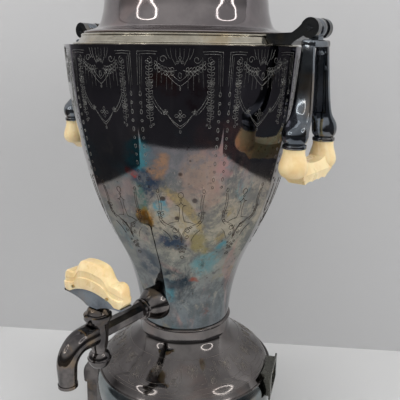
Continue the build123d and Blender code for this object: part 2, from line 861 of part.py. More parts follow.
# Tap body: threaded tail, eight-sided tube, valve barrel with a tapered bore, and a turned-down spout
thread_start = neck_radius + 2.5
tube_start = boss_end_reach + 2.2
barrel_points = [
    (valve_reach + valve_bottom_radius, valve_bottom),
    (valve_reach + valve_bottom_radius + 0.4, valve_bottom + 4.0),
    (valve_reach + valve_top_radius - 0.8, valve_top - 6.0),
    (valve_reach + valve_top_radius, valve_top - 2.0),
]
spout_height = tap_height + 1.0
with BuildPart() as tap_body:
    with BuildSketch(outward_plane(0, thread_start, tap_height)):
        Circle(tap_thread_radius)
    extrude(amount=tube_start - thread_start)
    with BuildSketch(outward_plane(0, boss_end_reach, tap_height)):
        Circle(boss_end_radius)
    extrude(amount=tube_start - boss_end_reach)
    with BuildSketch(outward_plane(0, tube_start, tap_height)):
        RegularPolygon(tap_tube_flats / 2, 8, major_radius=False, rotation=22.5)
    extrude(amount=valve_reach - tube_start)
    with BuildSketch(radial_plane(0)):
        with BuildLine():
            barrel = Spline(*barrel_points)
            Polyline(
                barrel @ 1,
                (valve_reach + valve_top_radius, valve_top),
                (valve_reach, valve_top),
                (valve_reach, valve_bottom),
                barrel @ 0,
            )
        make_face()
    revolve(axis=valve_axis)
    with BuildLine(radial_plane(0)) as spout_path:
        FilletPolyline(
            (valve_reach + plug_top_radius, spout_height),
            (spout_reach, spout_height),
            (spout_reach, spout_tip_height),
            radius=spout_bend,
        )
    spout_curve = spout_path.wires()[0]
    with BuildSketch(Plane(origin=spout_curve @ 0, z_dir=spout_curve % 0)):
        Circle(spout_root_radius)
    with BuildSketch(Plane(origin=spout_curve @ 1, z_dir=spout_curve % 1)):
        Circle(spout_radius)
    sweep(path=spout_curve, multisection=True)
    with BuildSketch(Plane.XY.offset(spout_tip_height)):
        with Locations((0, -spout_reach)):
            Circle(spout_radius + 0.6)
    extrude(amount=2.0)
    with BuildSketch(Plane(origin=spout_curve @ 0, z_dir=spout_curve % 0)):
        Circle(tap_bore_radius)
    with BuildSketch(Plane(origin=spout_curve @ 1, z_dir=spout_curve % 1)):
        Circle(spout_bore_radius - 0.2)
    sweep(path=spout_curve, multisection=True, mode=Mode.SUBTRACT)
    with BuildSketch(Plane.XY.offset(spout_tip_height)):
        with Locations((0, -spout_reach)):
            Circle(spout_bore_radius)
    extrude(amount=spout_outlet_depth, mode=Mode.SUBTRACT)
    with BuildSketch(outward_plane(0, thread_start, tap_height)):
        Circle(tap_bore_radius)
    extrude(amount=valve_reach - thread_start, mode=Mode.SUBTRACT)
    with BuildSketch(radial_plane(0)):
        with BuildLine():
            Polyline(
                (valve_reach, valve_bottom),
                (valve_reach + plug_bottom_radius + fit_gap, valve_bottom),
                (valve_reach + plug_top_radius + fit_gap, valve_top),
                (valve_reach, valve_top),
                close=True,
            )
        make_face()
    revolve(axis=valve_axis, mode=Mode.SUBTRACT)
save(tap_body, "tap_body")

# Plane of the lever: x runs along the lever, y runs up, the face looks away from the body
lever_angle = radians(lever_turn)
lever_plane = Plane(
    origin=(0, -valve_reach, 0),
    x_dir=(cos(lever_angle), sin(lever_angle), 0),
    z_dir=(sin(lever_angle), -cos(lever_angle), 0),
)
lever_end_plane = Plane(
    origin=(0, -valve_reach, 0),
    x_dir=(-sin(lever_angle), cos(lever_angle), 0),
    z_dir=(cos(lever_angle), sin(lever_angle), 0),
)

# Plug: a ground cone with a cross port, a flange over the barrel, a neck above and a stem below
with BuildPart() as tap_plug:
    with BuildSketch(radial_plane(0)):
        with BuildLine():
            Polyline(
                (valve_reach, valve_bottom - key_stem_length),
                (valve_reach + key_stem_radius, valve_bottom - key_stem_length),
                (valve_reach + key_stem_radius, valve_bottom),
                (valve_reach + plug_bottom_radius, valve_bottom),
                (valve_reach + plug_top_radius, valve_top),
                (valve_reach + plug_top_radius, flange_bottom),
                (valve_reach + bonnet_radius, flange_bottom),
                (valve_reach + bonnet_radius, flange_bottom + 2.6),
                (valve_reach + bonnet_radius - 1.4, flange_bottom + 3.2),
            )
            bell_line = Spline(
                (valve_reach + bonnet_radius - 1.4, flange_bottom + 3.2),
                (valve_reach + bonnet_radius - 2.1, flange_bottom + 5.2),
                (valve_reach + key_neck_radius + 2.6, flange_bottom + 7.4),
                (valve_reach + key_neck_radius, flange_bottom + 8.4),
                tangents=[(0, 1), (-1, 0.2)],
            )
            Polyline(
                bell_line @ 1,
                (valve_reach + key_neck_radius, bonnet_top),
                (valve_reach, bonnet_top),
                (valve_reach, valve_bottom - key_stem_length),
            )
        make_face()
    revolve(axis=valve_axis)
    with BuildSketch(lever_end_plane):
        with Locations((0, tap_height)):
            Circle(tap_bore_radius)
    extrude(amount=plug_top_radius * 2, both=True, mode=Mode.SUBTRACT)
save(tap_plug, "tap_plug")

# Washer and ball nut under the barrel
with BuildPart() as tap_washer_ring:
    with BuildSketch(Plane.XY.offset(nut_top)):
        with Locations((0, -valve_reach)):
            Circle(valve_bottom_radius - 0.4)
            Circle(key_stem_radius + fit_gap, mode=Mode.SUBTRACT)
    extrude(amount=tap_washer)
save(tap_washer_ring, "tap_washer")

with BuildPart() as tap_ball_nut:
    with BuildSketch(radial_plane(0)):
        with BuildLine():
            Polyline(
                (valve_reach, ball_center_height - ball_radius),
                (valve_reach, valve_bottom - key_stem_length - seat_gap),
                (valve_reach + key_stem_radius + fit_gap, valve_bottom - key_stem_length - seat_gap),
                (valve_reach + key_stem_radius + fit_gap, nut_top),
                (valve_reach + ball_neck_radius, nut_top),
                (valve_reach + ball_neck_radius, ball_shoulder),
            )
            ThreePointArc(
                (valve_reach + ball_neck_radius, ball_shoulder),
                (valve_reach + ball_radius, ball_center_height),
                (valve_reach, ball_center_height - ball_radius),
            )
        make_face()
    revolve(axis=valve_axis)
    with BuildSketch(radial_plane(0)):
        with Locations((valve_reach + ball_radius - 0.3 * ball_ring, ball_center_height)):
            Circle(ball_ring)
    revolve(axis=valve_axis)
save(tap_ball_nut, "tap_ball_nut")

# Lever carrier: a hub on the plug's neck, two wings under the grip and a spine inside it
spine_points = [
    (-lever_arch_half, lever_bottom + 0.5),
    (-lever_arch_half + 4.0, spine_top - 2.5),
    (-lever_arch_half / 2, spine_top),
    (lever_arch_half / 2, spine_top),
    (lever_arch_half - 4.0, spine_top - 2.5),
    (lever_arch_half, lever_bottom + 0.5),
]
hub_bottom = bonnet_top - hub_grasp
with BuildPart() as lever_carrier:
    with BuildSketch(lever_plane):
        with BuildLine():
            Line((-wing_half_length, lever_bottom), (-lever_arch_half, lever_bottom))
            ThreePointArc((-lever_arch_half, lever_bottom), (0, lever_arch), (lever_arch_half, lever_bottom))
            Line((lever_arch_half, lever_bottom), (wing_half_length, lever_bottom))
            flank = Spline(
                (wing_half_length, lever_bottom - 1.2),
                (wing_half_length * 0.68, lever_bottom - 1.9),
                (wing_half_length * 0.38, lever_bottom - 3.6),
                (wing_hub_radius, hub_bottom),
            )
            other_flank = Spline(
                (-wing_hub_radius, hub_bottom),
                (-wing_half_length * 0.38, lever_bottom - 3.6),
                (-wing_half_length * 0.68, lever_bottom - 1.9),
                (-wing_half_length, lever_bottom - 1.2),
            )
            Line((wing_half_length, lever_bottom), flank @ 0)
            Line(flank @ 1, other_flank @ 0)
            Line(other_flank @ 1, (-wing_half_length, lever_bottom))
        make_face()
    extrude(amount=wing_width / 2, both=True)
    with BuildSketch(lever_plane):
        Polygon(*spine_points, align=None)
    extrude(amount=spine_width / 2, both=True)
    with BuildSketch(Plane.XY.offset(hub_bottom)):
        with Locations((0, -valve_reach)):
            Circle(wing_hub_radius)
    extrude(amount=lever_bottom + 1.0 - hub_bottom)
    with BuildSketch(Plane.XY.offset(hub_bottom)):
        with Locations((0, -valve_reach)):
            Circle(key_neck_radius + fit_gap)
    extrude(amount=bonnet_top - hub_bottom + fit_gap, mode=Mode.SUBTRACT)
    with BuildSketch(lever_plane):
        with Locations((-lever_pin_spread, lever_pin_height), (lever_pin_spread, lever_pin_height)):
            Circle(lever_pin_radius + fit_gap)
    extrude(amount=lever_width, both=True, mode=Mode.SUBTRACT)
save(lever_carrier, "lever_carrier")

# Lever grip: a carved bar with rounded ends, a raised middle and sloping upper faces
with BuildPart() as lever_grip:
    with BuildSketch(lever_plane):
        with BuildLine():
            back = Spline(
                (-lever_half_length, lever_bottom + 5.0),
                (-lever_half_length + 1.8, lever_end_top - 1.6),
                (-lever_half_length + 6.5, lever_end_top),
                (-lever_half_length * 0.58, lever_crest - 5.6),
                (-lever_half_length * 0.40, lever_crest - 1.2),
                (0, lever_crest),
                (lever_half_length * 0.40, lever_crest - 1.2),
                (lever_half_length * 0.58, lever_crest - 5.6),
                (lever_half_length - 6.5, lever_end_top),
                (lever_half_length - 1.8, lever_end_top - 1.6),
                (lever_half_length, lever_bottom + 5.0),
            )
            Polyline(back @ 1, (lever_half_length - 1.5, lever_bottom), (lever_arch_half, lever_bottom))
            ThreePointArc((lever_arch_half, lever_bottom), (0, lever_arch), (-lever_arch_half, lever_bottom))
            Polyline((-lever_arch_half, lever_bottom), (-lever_half_length + 1.5, lever_bottom), back @ 0)
        make_face()
    extrude(amount=lever_width / 2, both=True)
    with BuildSketch(lever_end_plane):
        Polygon(
            (-lever_width * 0.42, lever_bottom - 1.0),
            (lever_width * 0.42, lever_bottom - 1.0),
            (lever_width / 2, lever_bottom + 3.0),
            (lever_width / 2, lever_end_top - 3.0),
            (lever_width * 0.19, lever_crest + 0.5),
            (-lever_width * 0.19, lever_crest + 0.5),
            (-lever_width / 2, lever_end_top - 3.0),
            (-lever_width / 2, lever_bottom + 3.0),
            align=None,
        )
    extrude(amount=lever_half_length + 2.0, both=True, mode=Mode.INTERSECT)
    with BuildSketch(Plane(origin=(0, -valve_reach, lever_bottom), x_dir=lever_plane.x_dir, z_dir=(0, 0, 1))):
        lobe_reach = lever_half_length - lever_end_radius
        for end in (1, -1):
            with BuildLine():
                side_line = Spline(
                    (0, lever_width / 2),
                    (end * lever_half_length * 0.30, lever_width * 0.49),
                    (end * lobe_reach * 0.80, lever_waist_width / 2),
                    (end * lobe_reach, lever_end_radius),
                )
                other_line = Spline(
                    (0, -lever_width / 2),
                    (end * lever_half_length * 0.30, -lever_width * 0.49),
                    (end * lobe_reach * 0.80, -lever_waist_width / 2),
                    (end * lobe_reach, -lever_end_radius),
                )
                Line(side_line @ 0, other_line @ 0)
                ThreePointArc(side_line @ 1, (end * lever_half_length, 0), other_line @ 1)
            make_face()
    extrude(amount=lever_thickness + 1.0, mode=Mode.INTERSECT)
    with BuildSketch(lever_plane):
        Polygon(*spine_points, align=None)
        offset(amount=fit_gap)
    extrude(amount=spine_width / 2 + fit_gap, both=True, mode=Mode.SUBTRACT)
    with BuildSketch(lever_plane):
        with Locations((-lever_pin_spread, lever_pin_height), (lever_pin_spread, lever_pin_height)):
            Circle(lever_pin_radius + fit_gap)
    extrude(amount=lever_width, both=True, mode=Mode.SUBTRACT)
save(lever_grip, "lever_grip")

with BuildPart() as lever_pins:
    with BuildSketch(lever_plane):
        with Locations((-lever_pin_spread, lever_pin_height), (lever_pin_spread, lever_pin_height)):
            Circle(lever_pin_radius)
    extrude(amount=lever_width / 2, both=True)
save(lever_pins, "lever_pins")

# Handle bracket: an arm soldered to the collar with two ears round the yoke's knuckle
bracket_line = [
    (bracket_root, shoulder + sheet),
    (shoulder_radius + 1.5, shoulder + sheet),
    (hinge_reach - ear_radius * 1.5, hinge_height - ear_radius * 1.25),
    (hinge_reach - ear_radius * 0.5, hinge_height - ear_radius * 0.7),
    (hinge_reach, hinge_height),
    (hinge_reach - ear_radius * 0.5, hinge_height + ear_radius * 0.8),
    (hinge_reach - ear_radius * 1.2, hinge_height + ear_radius * 0.1),
    (shoulder_radius + 1.5, collar_top + 1.2),
    (bracket_root, collar_top + 0.5),
]
with BuildPart() as bracket_right:
    with BuildSketch(Plane.XZ):
        Polygon(*bracket_line, align=None)
        with Locations((hinge_reach, hinge_height)):
            Circle(ear_radius)
    extrude(amount=bracket_root_half_width, both=True)
    with BuildSketch(Plane.XY.offset(shoulder)):
        Polygon(
            (bracket_root - 3.0, bracket_root_half_width),
            (shoulder_radius - 2.0, bracket_root_half_width - 1.0),
            (hinge_reach - ear_radius * 1.4, ear_half_width),
            (hinge_reach + ear_radius * 1.4, ear_half_width),
            (hinge_reach + ear_radius * 1.4, -ear_half_width),
            (hinge_reach - ear_radius * 1.4, -ear_half_width),
            (shoulder_radius - 2.0, -bracket_root_half_width + 1.0),
            (bracket_root - 3.0, -bracket_root_half_width),
            align=None,
        )
    extrude(amount=hinge_height + 2 * ear_radius - shoulder, mode=Mode.INTERSECT)
    add(collar_form.part, mode=Mode.SUBTRACT)
    with BuildSketch(Plane.XZ):
        with Locations((hinge_reach, hinge_height)):
            Circle(knuckle_radius + 2 * seat_gap)
    extrude(amount=knuckle_half_width + side_gap, both=True, mode=Mode.SUBTRACT)
    with BuildSketch(Plane.XZ):
        with Locations((hinge_reach, hinge_height)):
            Circle(hinge_pin_radius + fit_gap)
    extrude(amount=bracket_root_half_width, both=True, mode=Mode.SUBTRACT)
save(bracket_right, "bracket_right")

with BuildPart() as bracket_left:
    add(mirror(bracket_right.part, about=Plane.YZ))
save(bracket_left, "bracket_left")

with BuildPart() as hinge_pin_right:
    with BuildSketch(Plane.XZ):
        with Locations((hinge_reach, hinge_height)):
            Circle(hinge_pin_radius)
    extrude(amount=ear_half_width + 0.2, both=True)
save(hinge_pin_right, "hinge_pin_right")

with BuildPart() as hinge_pin_left:
    add(mirror(hinge_pin_right.part, about=Plane.YZ))
save(hinge_pin_left, "hinge_pin_left")

# Stations down an arm: share of its drop, of its outward spread, of its growth in depth, and its thickness
arm_stations = [
    (0.0, 0.0, 0.0, 1.0),
    (0.30, 0.27, 0.08, 0.84),
    (0.62, 0.60, 0.30, 0.92),
    (0.86, 0.86, 0.62, 1.24),
    (1.0, 1.0, 1.0, 1.95),
]
arm_top = bridge_top - bridge_height / 2


def arm_station(side, station, rim=0.0, inward=0.0):
    """Plane, depth and thickness of an arm's section, narrowed by a rim and stepped toward the other arm."""
    down, outward, growth, swell = station
    spread = arm_top_spread + (arm_spread - arm_top_spread) * outward
    plane = Plane(
        origin=(hinge_reach, side * (spread - inward), arm_top + (arm_bottom - arm_top) * down),
        x_dir=(1, 0, 0),
        z_dir=(0, 0, -1),
    )
    depth = arm_top_depth + (arm_bottom_depth - arm_top_depth) * growth - 2 * rim
    return plane, depth, arm_thickness * swell


# Solid form of the yoke's two arms: eight-sided bars that flare like a bell, hollowed on their inner faces
with BuildPart() as arm_form:
    for side in (1, -1):
        for station in arm_stations:
            plane, depth, thick = arm_station(side, station)
            bevel = thick * 0.30
            half_x = depth / 2
            half_y = thick / 2
            with BuildSketch(plane):
                Polygon(
                    (half_x, half_y - bevel),
                    (half_x - bevel * 1.4, half_y),
                    (bevel * 1.4 - half_x, half_y),
                    (-half_x, half_y - bevel),
                    (-half_x, bevel - half_y),
                    (bevel * 1.4 - half_x, -half_y),
                    (half_x - bevel * 1.4, -half_y),
                    (half_x, bevel - half_y),
                    align=None,
                )
        loft()

# Hollows in the arms' inner faces: round-topped, as deep all the way down
with BuildPart() as arm_hollows:
    for side in (1, -1):
        for station in arm_stations:
            plane, depth, thick = arm_station(side, station, arm_rim, arm_thickness * station[3] - arm_recess)
            with BuildSketch(plane):
                Rectangle(depth, thick)
        loft()
    with BuildSketch(Plane.XZ):
        hollow_top = arm_top - bridge_height / 2 - arm_top_depth / 2
        with Locations((hinge_reach, hollow_top)):
            Circle(arm_top_depth / 2 - arm_rim)
        Polygon(
            (hinge_reach - arm_top_depth / 2 + arm_rim, hollow_top),
            (hinge_reach + arm_top_depth / 2 - arm_rim, hollow_top),
            (hinge_reach + arm_bottom_depth / 2, arm_bottom + arm_drop * 0.20),
            (hinge_reach - arm_bottom_depth / 2, arm_bottom + arm_drop * 0.20),
            align=None,
        )
    extrude(amount=arm_spread + arm_thickness, both=True, mode=Mode.INTERSECT)

# Yoke: knuckle, cross bridge, two arms, and a round boss and ferrule at each foot
with BuildPart() as yoke_right:
    with BuildSketch(Plane.XZ):
        with Locations((hinge_reach, hinge_height)):
            Circle(knuckle_radius)
        with Locations((hinge_reach, (hinge_height + bridge_top) / 2 - 0.5)):
            Rectangle(knuckle_neck, hinge_height - bridge_top + 1.0)
    extrude(amount=knuckle_half_width, both=True)
    with BuildSketch(Plane.XZ):
        with Locations((hinge_reach, bridge_top - bridge_height / 2)):
            Rectangle(bridge_depth, bridge_height)
    extrude(amount=bridge_half_width, both=True)
    add(arm_form.part)
    add(arm_hollows.part, mode=Mode.SUBTRACT)
    for side in (1, -1):
        foot_plane = Plane(origin=(hinge_reach, side * arm_spread, 0), x_dir=(1, 0, 0), z_dir=(0, -1, 0))
        with BuildSketch(foot_plane):
            with BuildLine():
                boss_line = Spline(
                    (boss_radius * 0.62, arm_bottom + boss_height * 0.12),
                    (boss_radius * 0.93, arm_bottom - boss_height * 0.10),
                    (boss_radius, arm_bottom - boss_height * 0.42),
                    (boss_radius * 0.92, arm_bottom - boss_height * 0.80),
                    (groove_radius, arm_bottom - boss_height + groove_height),
                )
                Polyline(
                    boss_line @ 1,
                    (groove_radius, arm_bottom - boss_height),
                    (ferrule_radius - groove_height / 2, arm_bottom - boss_height),
                    (ferrule_radius, arm_bottom - boss_height - groove_height / 2),
                    (ferrule_radius, ferrule_bottom + groove_height / 2),
                    (ferrule_radius - groove_height / 2, ferrule_bottom),
                    (grip_stud_radius + fit_gap, ferrule_bottom),
                    (grip_stud_radius + fit_gap, ferrule_bottom + grip_stud_length / 2),
                    (0, ferrule_bottom + grip_stud_length / 2),
                    (0, arm_bottom + boss_height * 0.12),
                    boss_line @ 0,
                )
            make_face()
        revolve(axis=Axis((hinge_reach, side * arm_spread, 0), (0, 0, 1)))
    with BuildSketch(Plane.XZ):
        with Locations((hinge_reach, hinge_height)):
            Circle(hinge_pin_radius + fit_gap)
    extrude(amount=knuckle_half_width, both=True, mode=Mode.SUBTRACT)
save(yoke_right, "yoke_right")

with BuildPart() as yoke_left:
    add(mirror(yoke_right.part, about=Plane.YZ))
save(yoke_left, "yoke_left")

# Studs that hold the grip to the yoke
with BuildPart() as grip_studs_right:
    with BuildSketch(Plane.XY.offset(ferrule_bottom - grip_stud_length / 2)):
        with Locations((hinge_reach, arm_spread), (hinge_reach, -arm_spread)):
            Circle(grip_stud_radius)
    extrude(amount=grip_stud_length)
save(grip_studs_right, "grip_studs_right")

with BuildPart() as grip_studs_left:
    add(mirror(grip_studs_right.part, about=Plane.YZ))
save(grip_studs_left, "grip_studs_left")

# Grip: two swelling ends joined by a six-sided bar, dipped like a saddle above and scalloped below
bar_top = grip_bottom + grip_bar_height
with BuildPart() as grip_right:
    with BuildSketch(Plane.YZ.offset(hinge_reach)):
        with BuildLine():
            saddle = Spline(
                (arm_spread, bar_top + grip_saddle),
                (arm_spread * 0.55, bar_top + grip_saddle * 0.25),
                (0, bar_top),
                (-arm_spread * 0.55, bar_top + grip_saddle * 0.25),
                (-arm_spread, bar_top + grip_saddle),
            )
            Polyline(
                saddle @ 1,
                (-arm_spread, grip_end_bottom + 0.4),
                (-arm_spread * 0.66, grip_bottom),
                (arm_spread * 0.66, grip_bottom),
                (arm_spread, grip_end_bottom + 0.4),
                saddle @ 0,
            )
        make_face()
        with Locations(
            *[
                (step * grip_scallop_pitch, grip_bottom - grip_scallop_radius + grip_scallop_depth)
                for step in (-1, 0, 1)
            ]
        ):
            Circle(grip_scallop_radius, mode=Mode.SUBTRACT)
    extrude(amount=grip_bar_depth, both=True)
    with BuildSketch(Plane.XZ):
        Polygon(
            (hinge_reach - grip_bar_depth * 0.26, bar_top + grip_saddle),
            (hinge_reach + grip_bar_depth * 0.26, bar_top + grip_saddle),
            (hinge_reach + grip_bar_depth / 2, grip_bottom + grip_bar_height * 0.56),
            (hinge_reach + grip_bar_depth * 0.36, grip_bottom),
            (hinge_reach - grip_bar_depth * 0.36, grip_bottom),
            (hinge_reach - grip_bar_depth / 2, grip_bottom + grip_bar_height * 0.56),
            align=None,
        )
    extrude(amount=arm_spread, both=True, mode=Mode.INTERSECT)
    for side in (1, -1):
        foot_plane = Plane(origin=(hinge_reach, side * arm_spread, 0), x_dir=(1, 0, 0), z_dir=(0, -1, 0))
        with BuildSketch(foot_plane):
            with BuildLine():
                swell = Spline(
                    (grip_stub_radius, ferrule_bottom),
                    (grip_stub_radius + 0.9, ferrule_bottom - grip_end_drop * 0.35),
                    (grip_bulge_radius, ferrule_bottom - grip_end_drop * 0.70),
                    (grip_bulge_radius - 2.0, grip_end_bottom + 0.8),
                )
                Polyline(
                    swell @ 1,
                    (grip_bulge_radius - 3.0, grip_end_bottom),
                    (0, grip_end_bottom),
                    (0, ferrule_bottom),
                    swell @ 0,
                )
            make_face()
        revolve(axis=Axis((hinge_reach, side * arm_spread, 0), (0, 0, 1)))
        with BuildSketch(Plane.XY.offset(ferrule_bottom)):
            with Locations((hinge_reach, side * arm_spread)):
                Circle(grip_stud_radius + fit_gap)
        extrude(amount=-grip_stud_length / 2, mode=Mode.SUBTRACT)
save(grip_right, "grip_right")

with BuildPart() as grip_left:
    add(mirror(grip_right.part, about=Plane.YZ))
save(grip_left, "grip_left")

# Pump foot: a bell that stands in the heater well
pump_bottom = well_bottom + seat_gap
with BuildPart() as pump_foot:
    with BuildSketch(Plane.XZ):
        with BuildLine():
            Polyline(
                (pump_foot_radius, pump_bottom),
                (pump_foot_radius, pump_bottom + pump_foot_height * 0.6),
                (stem_radius + 2.0, pump_bottom + pump_foot_height),
                (stem_radius + fit_gap, pump_bottom + pump_foot_height),
                (stem_radius + fit_gap, pump_bottom + pump_foot_height - 2 * sheet),
                (pump_foot_radius - sheet, pump_bottom + pump_foot_height * 0.45),
                (pump_foot_radius - sheet, pump_bottom),
                close=True,
            )
        make_face()
    revolve(axis=Axis.Z)
    with BuildSketch(Plane.XZ.offset(-pump_foot_radius * 1.5)):
        with Locations((0, pump_bottom)):
            Circle(pump_port_radius)
    extrude(amount=pump_foot_radius * 3, mode=Mode.SUBTRACT)
save(pump_foot, "pump_foot")

# Pump stem: a tube from the foot to the glass, with a ring that carries the basket
with BuildPart() as pump_stem:
    with BuildSketch(Plane.XY.offset(pump_bottom + pump_foot_height - 4 * sheet)):
        Circle(stem_radius)
        Circle(stem_bore_radius, mode=Mode.SUBTRACT)
    extrude(amount=stem_top - pump_bottom - pump_foot_height + 4 * sheet)
    with BuildSketch(Plane.XY.offset(basket_bottom)):
        Circle(stem_radius + basket_ring_width)
        Circle(stem_bore_radius, mode=Mode.SUBTRACT)
    extrude(amount=-basket_ring_height)
save(pump_stem, "pump_stem")

# Coffee basket: a drawn cup with a pierced bottom
with BuildPart() as coffee_basket:
    with BuildSketch(Plane.XZ):
        with BuildLine():
            Polyline(
                (stem_radius + fit_gap, basket_bottom),
                (basket_radius, basket_bottom),
                (basket_radius, basket_bottom + basket_depth),
                (basket_radius - basket_wall, basket_bottom + basket_depth),
                (basket_radius - basket_wall, basket_bottom + basket_wall),
                (stem_radius + fit_gap, basket_bottom + basket_wall),
                close=True,
            )
        make_face()
    revolve(axis=Axis.Z)
    with BuildSketch(Plane.XY.offset(basket_bottom)):
        for ring_radius, hole_count in basket_hole_rings:
            with PolarLocations(ring_radius, hole_count):
                Circle(basket_hole_radius)
    extrude(amount=basket_wall, mode=Mode.SUBTRACT)
save(coffee_basket, "coffee_basket")

# Spreader plate: a pierced lid on the basket's rim
spreader_bottom = basket_bottom + basket_depth
with BuildPart() as spreader_plate:
    with BuildSketch(Plane.XZ):
        with BuildLine():
            Polyline(
                (stem_radius + fit_gap, spreader_bottom),
                (basket_radius + fit_gap, spreader_bottom),
                (basket_radius + fit_gap, spreader_bottom - spreader_lip),
                (basket_radius + fit_gap + basket_wall, spreader_bottom - spreader_lip),
                (basket_radius + fit_gap + basket_wall, spreader_bottom + basket_wall),
                (stem_radius + fit_gap, spreader_bottom + basket_wall),
                close=True,
            )
        make_face()
    revolve(axis=Axis.Z)
    with BuildSketch(Plane.XY.offset(spreader_bottom)):
        for ring_radius, hole_count in spreader_hole_rings:
            with PolarLocations(ring_radius, hole_count):
                Circle(basket_hole_radius)
    extrude(amount=basket_wall, mode=Mode.SUBTRACT)
save(spreader_plate, "spreader_plate")
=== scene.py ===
"""Electric coffee urn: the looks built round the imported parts, in metres, in the parts' own frame."""
import json
from math import copysign, cos, pi, radians, sin, sqrt

import bmesh
import bpy
from mathutils import Matrix, Vector


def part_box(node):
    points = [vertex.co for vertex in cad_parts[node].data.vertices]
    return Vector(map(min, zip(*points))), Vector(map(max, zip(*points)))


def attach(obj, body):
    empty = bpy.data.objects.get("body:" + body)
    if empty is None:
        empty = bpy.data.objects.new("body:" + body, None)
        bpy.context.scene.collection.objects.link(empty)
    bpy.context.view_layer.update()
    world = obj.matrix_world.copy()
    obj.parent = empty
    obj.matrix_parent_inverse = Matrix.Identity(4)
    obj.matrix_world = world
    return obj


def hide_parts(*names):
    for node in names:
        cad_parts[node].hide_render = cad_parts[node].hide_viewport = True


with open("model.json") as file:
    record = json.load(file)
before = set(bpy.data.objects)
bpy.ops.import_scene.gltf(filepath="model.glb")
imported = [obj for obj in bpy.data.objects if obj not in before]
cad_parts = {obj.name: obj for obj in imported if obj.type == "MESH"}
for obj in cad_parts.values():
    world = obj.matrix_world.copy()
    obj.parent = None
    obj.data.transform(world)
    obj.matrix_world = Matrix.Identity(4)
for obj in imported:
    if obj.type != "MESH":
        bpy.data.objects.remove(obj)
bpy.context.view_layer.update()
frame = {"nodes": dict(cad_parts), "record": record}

MM = 0.001

# Heights and radii read from the parts
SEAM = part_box("body_shell")[0].z
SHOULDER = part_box("body_shell")[1].z
SHOULDER_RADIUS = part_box("body_shell")[1].x
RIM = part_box("base_skirt")[1].z
SKIRT_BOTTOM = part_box("base_skirt")[0].z
COLLAR_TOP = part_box("collar_ring")[1].z
LID_GAP = 0.3 * MM
LID_FOOT = COLLAR_TOP + LID_GAP
LID_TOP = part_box("knob_ring")[0].z

# Sheet thickness, radii of holes and inside walls, and distances that weld vertices
SHEET = 1.2 * MM
FLOOR_HOLE = 15.3 * MM
KNOB_HOLE = 19.6 * MM
COLLAR_INSIDE = 66.3 * MM
BASE_INSIDE = 66.3 * MM
WELD = 0.004 * MM
SPIN_WELD = 0.002 * MM

# Body: ten panels between soft creases
PANELS = 10
NECK_RADIUS = 34.0 * MM
MOUTH_RADIUS = 72.0 * MM
PANEL_FULLNESS = 0.35
NECK_FULLNESS = 0.95
FLATTENING_HEIGHT = 60 * MM
# Line of a crease: share of the body's height, and of the way from the neck's radius to the shoulder's
CREASE = [
    *[(0.0, 0.0), (0.085, 0.04), (0.17, 0.116), (0.255, 0.24), (0.38, 0.48)],
    *[(0.50, 0.662), (0.65, 0.819), (0.82, 0.937), (1.0, 1.0)],
]


def flowing(points, steps):
    """Points of a smooth line through the given ones, with so many steps in each span."""
    pts = [Vector(p) for p in points]
    ends = [2 * pts[0] - pts[1], *pts, 2 * pts[-1] - pts[-2]]
    line = []
    for k in range(1, len(ends) - 2):
        before, here, there, after = ends[k - 1 : k + 3]
        for j in range(steps):
            t = j / steps
            bend = 2 * before - 5 * here + 4 * there - after
            twist = 3 * here - before - 3 * there + after
            line.append(0.5 * (2 * here + (there - before) * t + bend * t * t + twist * t * t * t))
    return line + [pts[-1]]


CREASE_LINE = flowing(
    [
        (NECK_RADIUS + (SHOULDER_RADIUS - NECK_RADIUS) * wide, SEAM + (SHOULDER - SEAM) * high)
        for high, wide in CREASE
    ],
    16,
)


def crease_radius(height):
    """Radius of the body's creases at a height."""
    for low, high in zip(CREASE_LINE, CREASE_LINE[1:]):
        if height <= high.y:
            t = max(0.0, (height - low.y) / (high.y - low.y))
            return low.x + (high.x - low.x) * t
    return CREASE_LINE[-1].x


def panel_radius(angle, crease, fullness):
    """Distance from the axis to a panel's soft arc, at an angle from the panel's middle."""
    half = pi / PANELS
    chord = crease * sin(half)
    flat = crease * cos(half)
    bulge = (crease - flat) * fullness
    arc = (chord * chord + bulge * bulge) / (2 * bulge)
    center = flat + bulge - arc
    return center * cos(angle) + sqrt(arc * arc - (center * sin(angle)) ** 2)


def fullness_at(height):
    """How far a panel swells toward the full circle at a height."""
    share = min((height - SEAM) / FLATTENING_HEIGHT, 1.0)
    return NECK_FULLNESS + (PANEL_FULLNESS - NECK_FULLNESS) * share


def body_point(panel, across, height):
    """Place on the body's skin, from a panel's number, the step from its middle and the height."""
    crease = crease_radius(height)
    angle = across / (crease * cos(pi / PANELS))
    reach = panel_radius(angle, crease, fullness_at(height))
    turn = 2 * pi * panel / PANELS + angle
    return Vector((reach * sin(turn), -reach * cos(turn), height))


def placed(name, data):
    """A new object in the scene."""
    thing = bpy.data.objects.new(name, data)
    bpy.context.scene.collection.objects.link(thing)
    return thing


def placed_mesh(name, bm):
    """A new mesh object in the scene, from a bmesh that it uses up."""
    mesh = bpy.data.meshes.new(name)
    bm.to_mesh(mesh)
    bm.free()
    return placed(name, mesh)


def finish_mesh(name, bm, body, material, stands_for=(), sharp=40.0):
    """Turn a bmesh into a piece that rides on a body and stands for some of the parts."""
    bmesh.ops.remove_doubles(bm, verts=bm.verts, dist=WELD)
    bmesh.ops.recalc_face_normals(bm, faces=bm.faces)
    for edge in bm.edges:
        edge.smooth = len(edge.link_faces) == 2 and edge.calc_face_angle(0.0) < radians(sharp)
    for face in bm.faces:
        face.smooth = True
    piece = placed_mesh(name, bm)
    piece.data.materials.append(material)
    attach(piece, body)
    if stands_for:
        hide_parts(*stands_for)
    return piece


